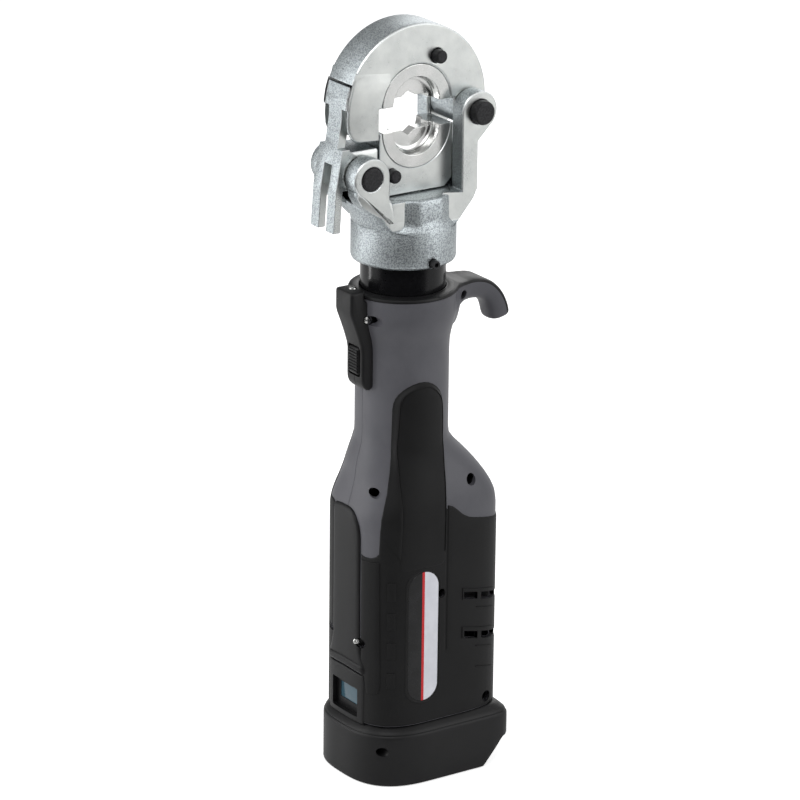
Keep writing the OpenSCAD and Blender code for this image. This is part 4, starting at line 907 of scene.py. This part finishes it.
bright_screw = metal("bright_screw", (0.40, 0.40, 0.39), (0.54, 0.54, 0.53), 0.26)
hole_shade_screw = metal("hole_shade_screw", (0.04, 0.04, 0.04), (0.07, 0.07, 0.07), 0.4)
slack, nose_lean = 0.35, (-0.56, -0.83, 0)
for name, radius, spot, way, well in (
        ("cover_screw_0", 2.1, (-27.6, -7.0, 261.5), (0, -1, 0), 0.6),
        ("cover_screw_2", 2.1, (-27.6, 7.0, 261.5), (0, 1, 0), 0.6),
        ("seam_screw_0", 1.85, (-34.4, -10, seam_z), nose_lean, 0),
        ("seam_screw_2", 1.85, (-33.4, 8.7, seam_z), (0, 1, 0), 0)):
    screw(name, radius, spot, way, bright_screw, "cover_screws", well)
seat = turned("seam_seat", [(0.01, -1.2), (3.6, -1.2), (3.6, -0.2), (0.01, -0.2)], 28)
lay(seat, (-32.9, -10.5, seam_z), nose_lean)
settle(seat, black_plastic, "handle", "black_plastic", "nose_cover")
screw("top_screw", 2.1, (-32.0, 0, 277.5), (0, 0, 1), bright_screw, "cover_screws")
# depths of the black sleeves round the shell screws, painted shade in their holes
wells = (15, 1.5, 5.8, 15, 0)
for i, ((x, z, r, deep), well) in enumerate(zip(screw_spots + (hook_screw,), wells)):
    way = (-0.375, -0.927, 0) if i == 1 else (0, -1, 0)
    screw("shell_screw_%d" % i, r - slack, (x, -deep, z), way, hole_shade_screw, "housing_screws", well)

# Battery pack. A black moulded case with a screwed lid whose ridge follows the handle's foot; cells,
# blades and the release tab behind. The pack slides off downwards.
def pack(name, rows):
    """A solid with the pack's outline through rows of height and inset in mm."""
    return lattice(name, [
        superellipse(spread, np.full(len(spread), z), 38 - inset, 52.5 - inset, 36.5 - inset, 2.8, 10)
        for z, inset in rows])


spread = np.concatenate((np.linspace(0, 35, 12, endpoint=False), np.linspace(35, 60, 22, endpoint=False),
                         np.linspace(60, 180, 34, endpoint=False)))
spread = np.sort(np.concatenate((spread, -spread[1:], [180.0])))
case = pack("pack_case", (
    (0, 1.0), (0.15, 0.5), (0.45, 0.15), (1.0, 0), (3, 0), (8, 0), (15, 0), (22, 0), (27.2, 0), (28.4, 0.15),
    (29.1, 0.5), (29.5, 1.0)))
cut_line = [(30.6, -3), (32.4, 0.2), (44.4, 13.4), (46.2, 14.8), (49, 15.4), (60, 15.4), (60, -3)]
carve(case, plate("pack_cut", cut_line, -50, 50, 0.0), block((43.2, -11.3, 15.7), (60, 11.3, 22.3)),
      bar(-29.2, 20.4, 2.6, -50, -20), bar(-29.2, 20.4, 2.6, 50, 20))
lip = case.modifiers.new("lip", "BEVEL")
lip.width = 0.0005
lip.segments = 2
lip.limit_method = "ANGLE"
lip.angle_limit = math.radians(40)
bpy.ops.object.modifier_apply(modifier="lip")
settle(case, black_plastic, "battery", "black_plastic", "battery_case")
lid = pack("pack_lid", (
    (29.3, 1.6), (29.4, 0.95), (29.7, 0.75), (30.3, 0.95), (31.6, 2.3), (33.0, 3.9), (33.6, 4.6), (33.9, 5.4),
    (34.0, 7)))
tower = block((-22, -20, 28), (24, 20, 48), 1.2)
carve(lid, tower, how="UNION")
settle(lid, black_plastic, "battery", "black_plastic", "battery_lid")
dress("battery_release", soft_black, 0.0006)
cell_wrap = plastic("cell_wrap", (0.02, 0.09, 0.22), (0.03, 0.12, 0.28), 0.3, 0.5, 800, 0.05)
dress("battery_cells", cell_wrap, 0.0003)
dress("battery_contacts", metal("contact_brass", (0.56, 0.40, 0.16), (0.70, 0.52, 0.24), 0.24), 0.0001)

# Head castings. Steel, zinc plated: the flat faces are milled, the rims and the collar keep the
# granular skin, and every edge is broken.
def zinc(place, facing):
    aside = abs(facing.part("Y"))
    flat = (aside.between(0.9, 0.985) * place.part("Z").between(0.3126, 0.3136)
            * abs(place.part("Y")).between(0.0226, 0.0222))
    # bevels of the upper head: smoother grain, and a painted highlight mixed into their colour
    polish_and_painted_highlight = aside.between(0.25, 0.45) * aside.between(0.97, 0.86) * place.part("Z").between(0.329, 0.330)
    cast = (1 - flat) * (1 - polish_and_painted_highlight * 0.8)
    grain = place.noise(1300, 3, 0.7)
    pit = place.node("ShaderNodeTexVoronoi", {}, {"Vector": place, "Scale": 1200.0})
    cloud = place.noise(50, 4, 0.65)
    tone = cloud.between(0.3, 0.72).mix((0.48, 0.497, 0.49, 1), (0.595, 0.612, 0.595, 1))
    # the pale colour on those bevels is the painted highlight
    rough_tone = cast.mix(polish_and_painted_highlight.mix(tone, (0.82, 0.84, 0.84, 1)), (0.435, 0.475, 0.485, 1))
    speck = cast * grain.between(0.58, 0.40) + flat * grain.between(0.36, 0.26) * 0.5
    return {"Base Color": speck.mix(rough_tone, (0.21, 0.225, 0.24, 1)), "Metallic": 1.0,
            "Roughness": 0.30 + cast * 0.17 + (cloud - 0.5) * 0.16 + (grain - 0.5) * 0.14,
            "Normal": (grain * (0.05 + cast * 0.95) + pit * cast * 0.3).bump(0.9, 0.00014)}


zinc_steel = finish("zinc_steel", zinc)
for node, edge in (("yoke", 0.0009), ("upper_jaw", 0.0011), ("ram", 0.0005), ("latch_lever", 0.0004)):
    dress(node, zinc_steel, edge)

# Blends on the yoke, cast in one with it: the fillet under the twelve-sided neck, the floor between
# the ears on the latch side and the legs that run down from those ears to the collar.
neck_flat, neck_corner, facet_half = 25.8, 26.5, math.pi / 12
facet = np.radians(np.arange(0, 360, 3))
gon = np.minimum(neck_flat / np.cos((facet + facet_half) % (math.pi / 6) - facet_half), neck_corner)
sleeve_rows = []
# height, least radius, share of the neck's outline
for z, least, share in (
        (310.6, 28.25, 1), (311.8, 28.0, 1), (312.7, 27.3, 1), (313.8, 26.6, 1), (315.2, 26.0, 1),
        (317, 25.5, 1), (319, 25.1, 1), (326.9, 0, 1), (327.7, 0, 0.988), (328.2, 0, 0.966),
        (328.3, 0, 0.93)):
    reach = np.maximum(gon * share, least)
    sleeve_rows.append(np.stack((reach * np.cos(facet), reach * np.sin(facet), facet * 0 + z), axis=1))
sleeve_rows.append(sleeve_rows[-1] * (0.9, 0.9, 1) - (0, 0, 5))
sleeve_rows.append(sleeve_rows[0] * (0.8, 0.8, 1))
sleeve = lattice("neck_fillet", sleeve_rows, wrap_rows=True)
floor_section = ((27.0, 311), (28.3, 312.5), (28.9, 315.8), (29.8, 318.5), (30.8, 321), (31.5, 323),
                 (31.4, 323.7), (30.6, 323.9), (27, 322.6), (23.5, 322.2), (23.5, 311))
fork_floor = lattice("fork_floor", [[(r * math.cos(t), r * math.sin(t), z) for r, z in floor_section]
                                    for t in np.radians(np.arange(140, 221, 4))])
blends = [sleeve, fork_floor]
leg_foot, leg_proud, leg_lean = 312.4, 0.0001, 0.00002
leg_line = [(-43.6, 337), (-43.2, 333.6), (-40.3, 328.6), (-34.4, 324.2), (-27.6, 320.3), (-25, 316),
            (-21.5, leg_foot), (-12, leg_foot), (-14, 318), (-18.5, 325), (-21.6, 328.4), (-23.4, 331),
            (-23.6, 336)]
for side in (-1, 1):
    leg = plate("ear_leg_%d" % (side + 1), leg_line, 21.65 * side, 12 * side, 0.7)
    for vertex in leg.data.vertices:
        vertex.co.y += side * (leg_proud - (vertex.co.z / mm - leg_foot) * leg_lean)
    blends.append(leg)
for piece in blends:
    settle(piece, zinc_steel, "head", "zinc_steel")

# Latch shelf and leg cheeks, cast in one with the latch and the jaw: the ledge under the jaw's leg, and
# the rounded cheeks on both sides of that leg, which run out into the jaw's rim.
shelf_line = [(-46, 352), (-45, 356.4), (-25, 356.4), (-24.1, 355.5), (-24.1, 350), (-30, 346), (-40, 346)]
shelf = plate("latch_shelf", shelf_line, -10.9, 10.9, 0.5)
settle(shelf, zinc_steel, "latch", "zinc_steel")
cheek_line = np.array([
    (-38.4, 393.9), (-40.9, 389.4), (-42.8, 381.5), (-43.4, 373.4), (-42.9, 367.6), (-41.8, 364.8),
    (-40.2, 362.7), (-38.2, 361.2), (-36, 360.6), (-24.1, 360.6), (-24.1, 378.4), (-22.2, 379.6),
    (-21.6, 381.4), (-20.9, 383.8), (-19.6, 387.1), (-17.2, 390.9)])
middle, cheek_reach, overlap = np.array((-31, 376)), 17, 4.6
for side in (-1, 1):
    rows = []
    # distance from the middle, inset of the outer edge, drop of the upper edge
    for y, inset, drop in ((10.3, 0, 0), (10.6, 0.03, 0), (11.0, 0.3, 0), (11.2, 0.55, 0), (11.3, 0.75, 1.8),
                           (11.37, 0.9, 3.0), (11.45, 1.2, 4.4), (11.5, 1.7, 5.2)):
        line = cheek_line.copy()
        line[[0, -1], 1] += overlap - drop
        outside = np.clip((-27 - line[:, :1]) / 7, 0, 1)
        line = line + (middle - line) * inset / cheek_reach * outside
        rows.append(np.stack((line[:, 0], np.full(len(line), y * side), line[:, 1]), axis=1))
    settle(lattice("leg_cheek_%d" % (side + 1), rows), zinc_steel, "jaw", "zinc_steel")

# Pins and buttons. Steel, blued black: the hinge and latch pins pressed through the ears, the die
# buttons sprung in the jaw and the ram, and the set screw in the collar.
def oxide_look(place, facing):
    wear = place.noise(900, 3)
    return {"Base Color": wear.between(0.35, 0.7).mix((0.010, 0.010, 0.011, 1), (0.026, 0.026, 0.028, 1)),
            "Metallic": 0.5, "Roughness": 0.42 + wear * 0.16, "Specular IOR Level": 0.4,
            "Normal": wear.bump(0.12, 0.0001)}


black_oxide = finish("black_oxide", oxide_look)
for node, edge in (("hinge_pin", 0.0007), ("latch_pin", 0.0006), ("collar_set_screw", 0.0002),
                   ("upper_die_button", 0.0005), ("lower_die_button", 0.0005)):
    dress(node, black_oxide, edge)

# Dies. Tool steel, turned, milled to the crimp profile and polished, held in the jaw and the ram by
# the buttons' pins.
die_steel = metal("die_steel", (0.50, 0.51, 0.50), (0.60, 0.60, 0.59), 0.22, 1800, 0.05)
for node in ("upper_die", "lower_die"):
    dress(node, die_steel, 0.0003)
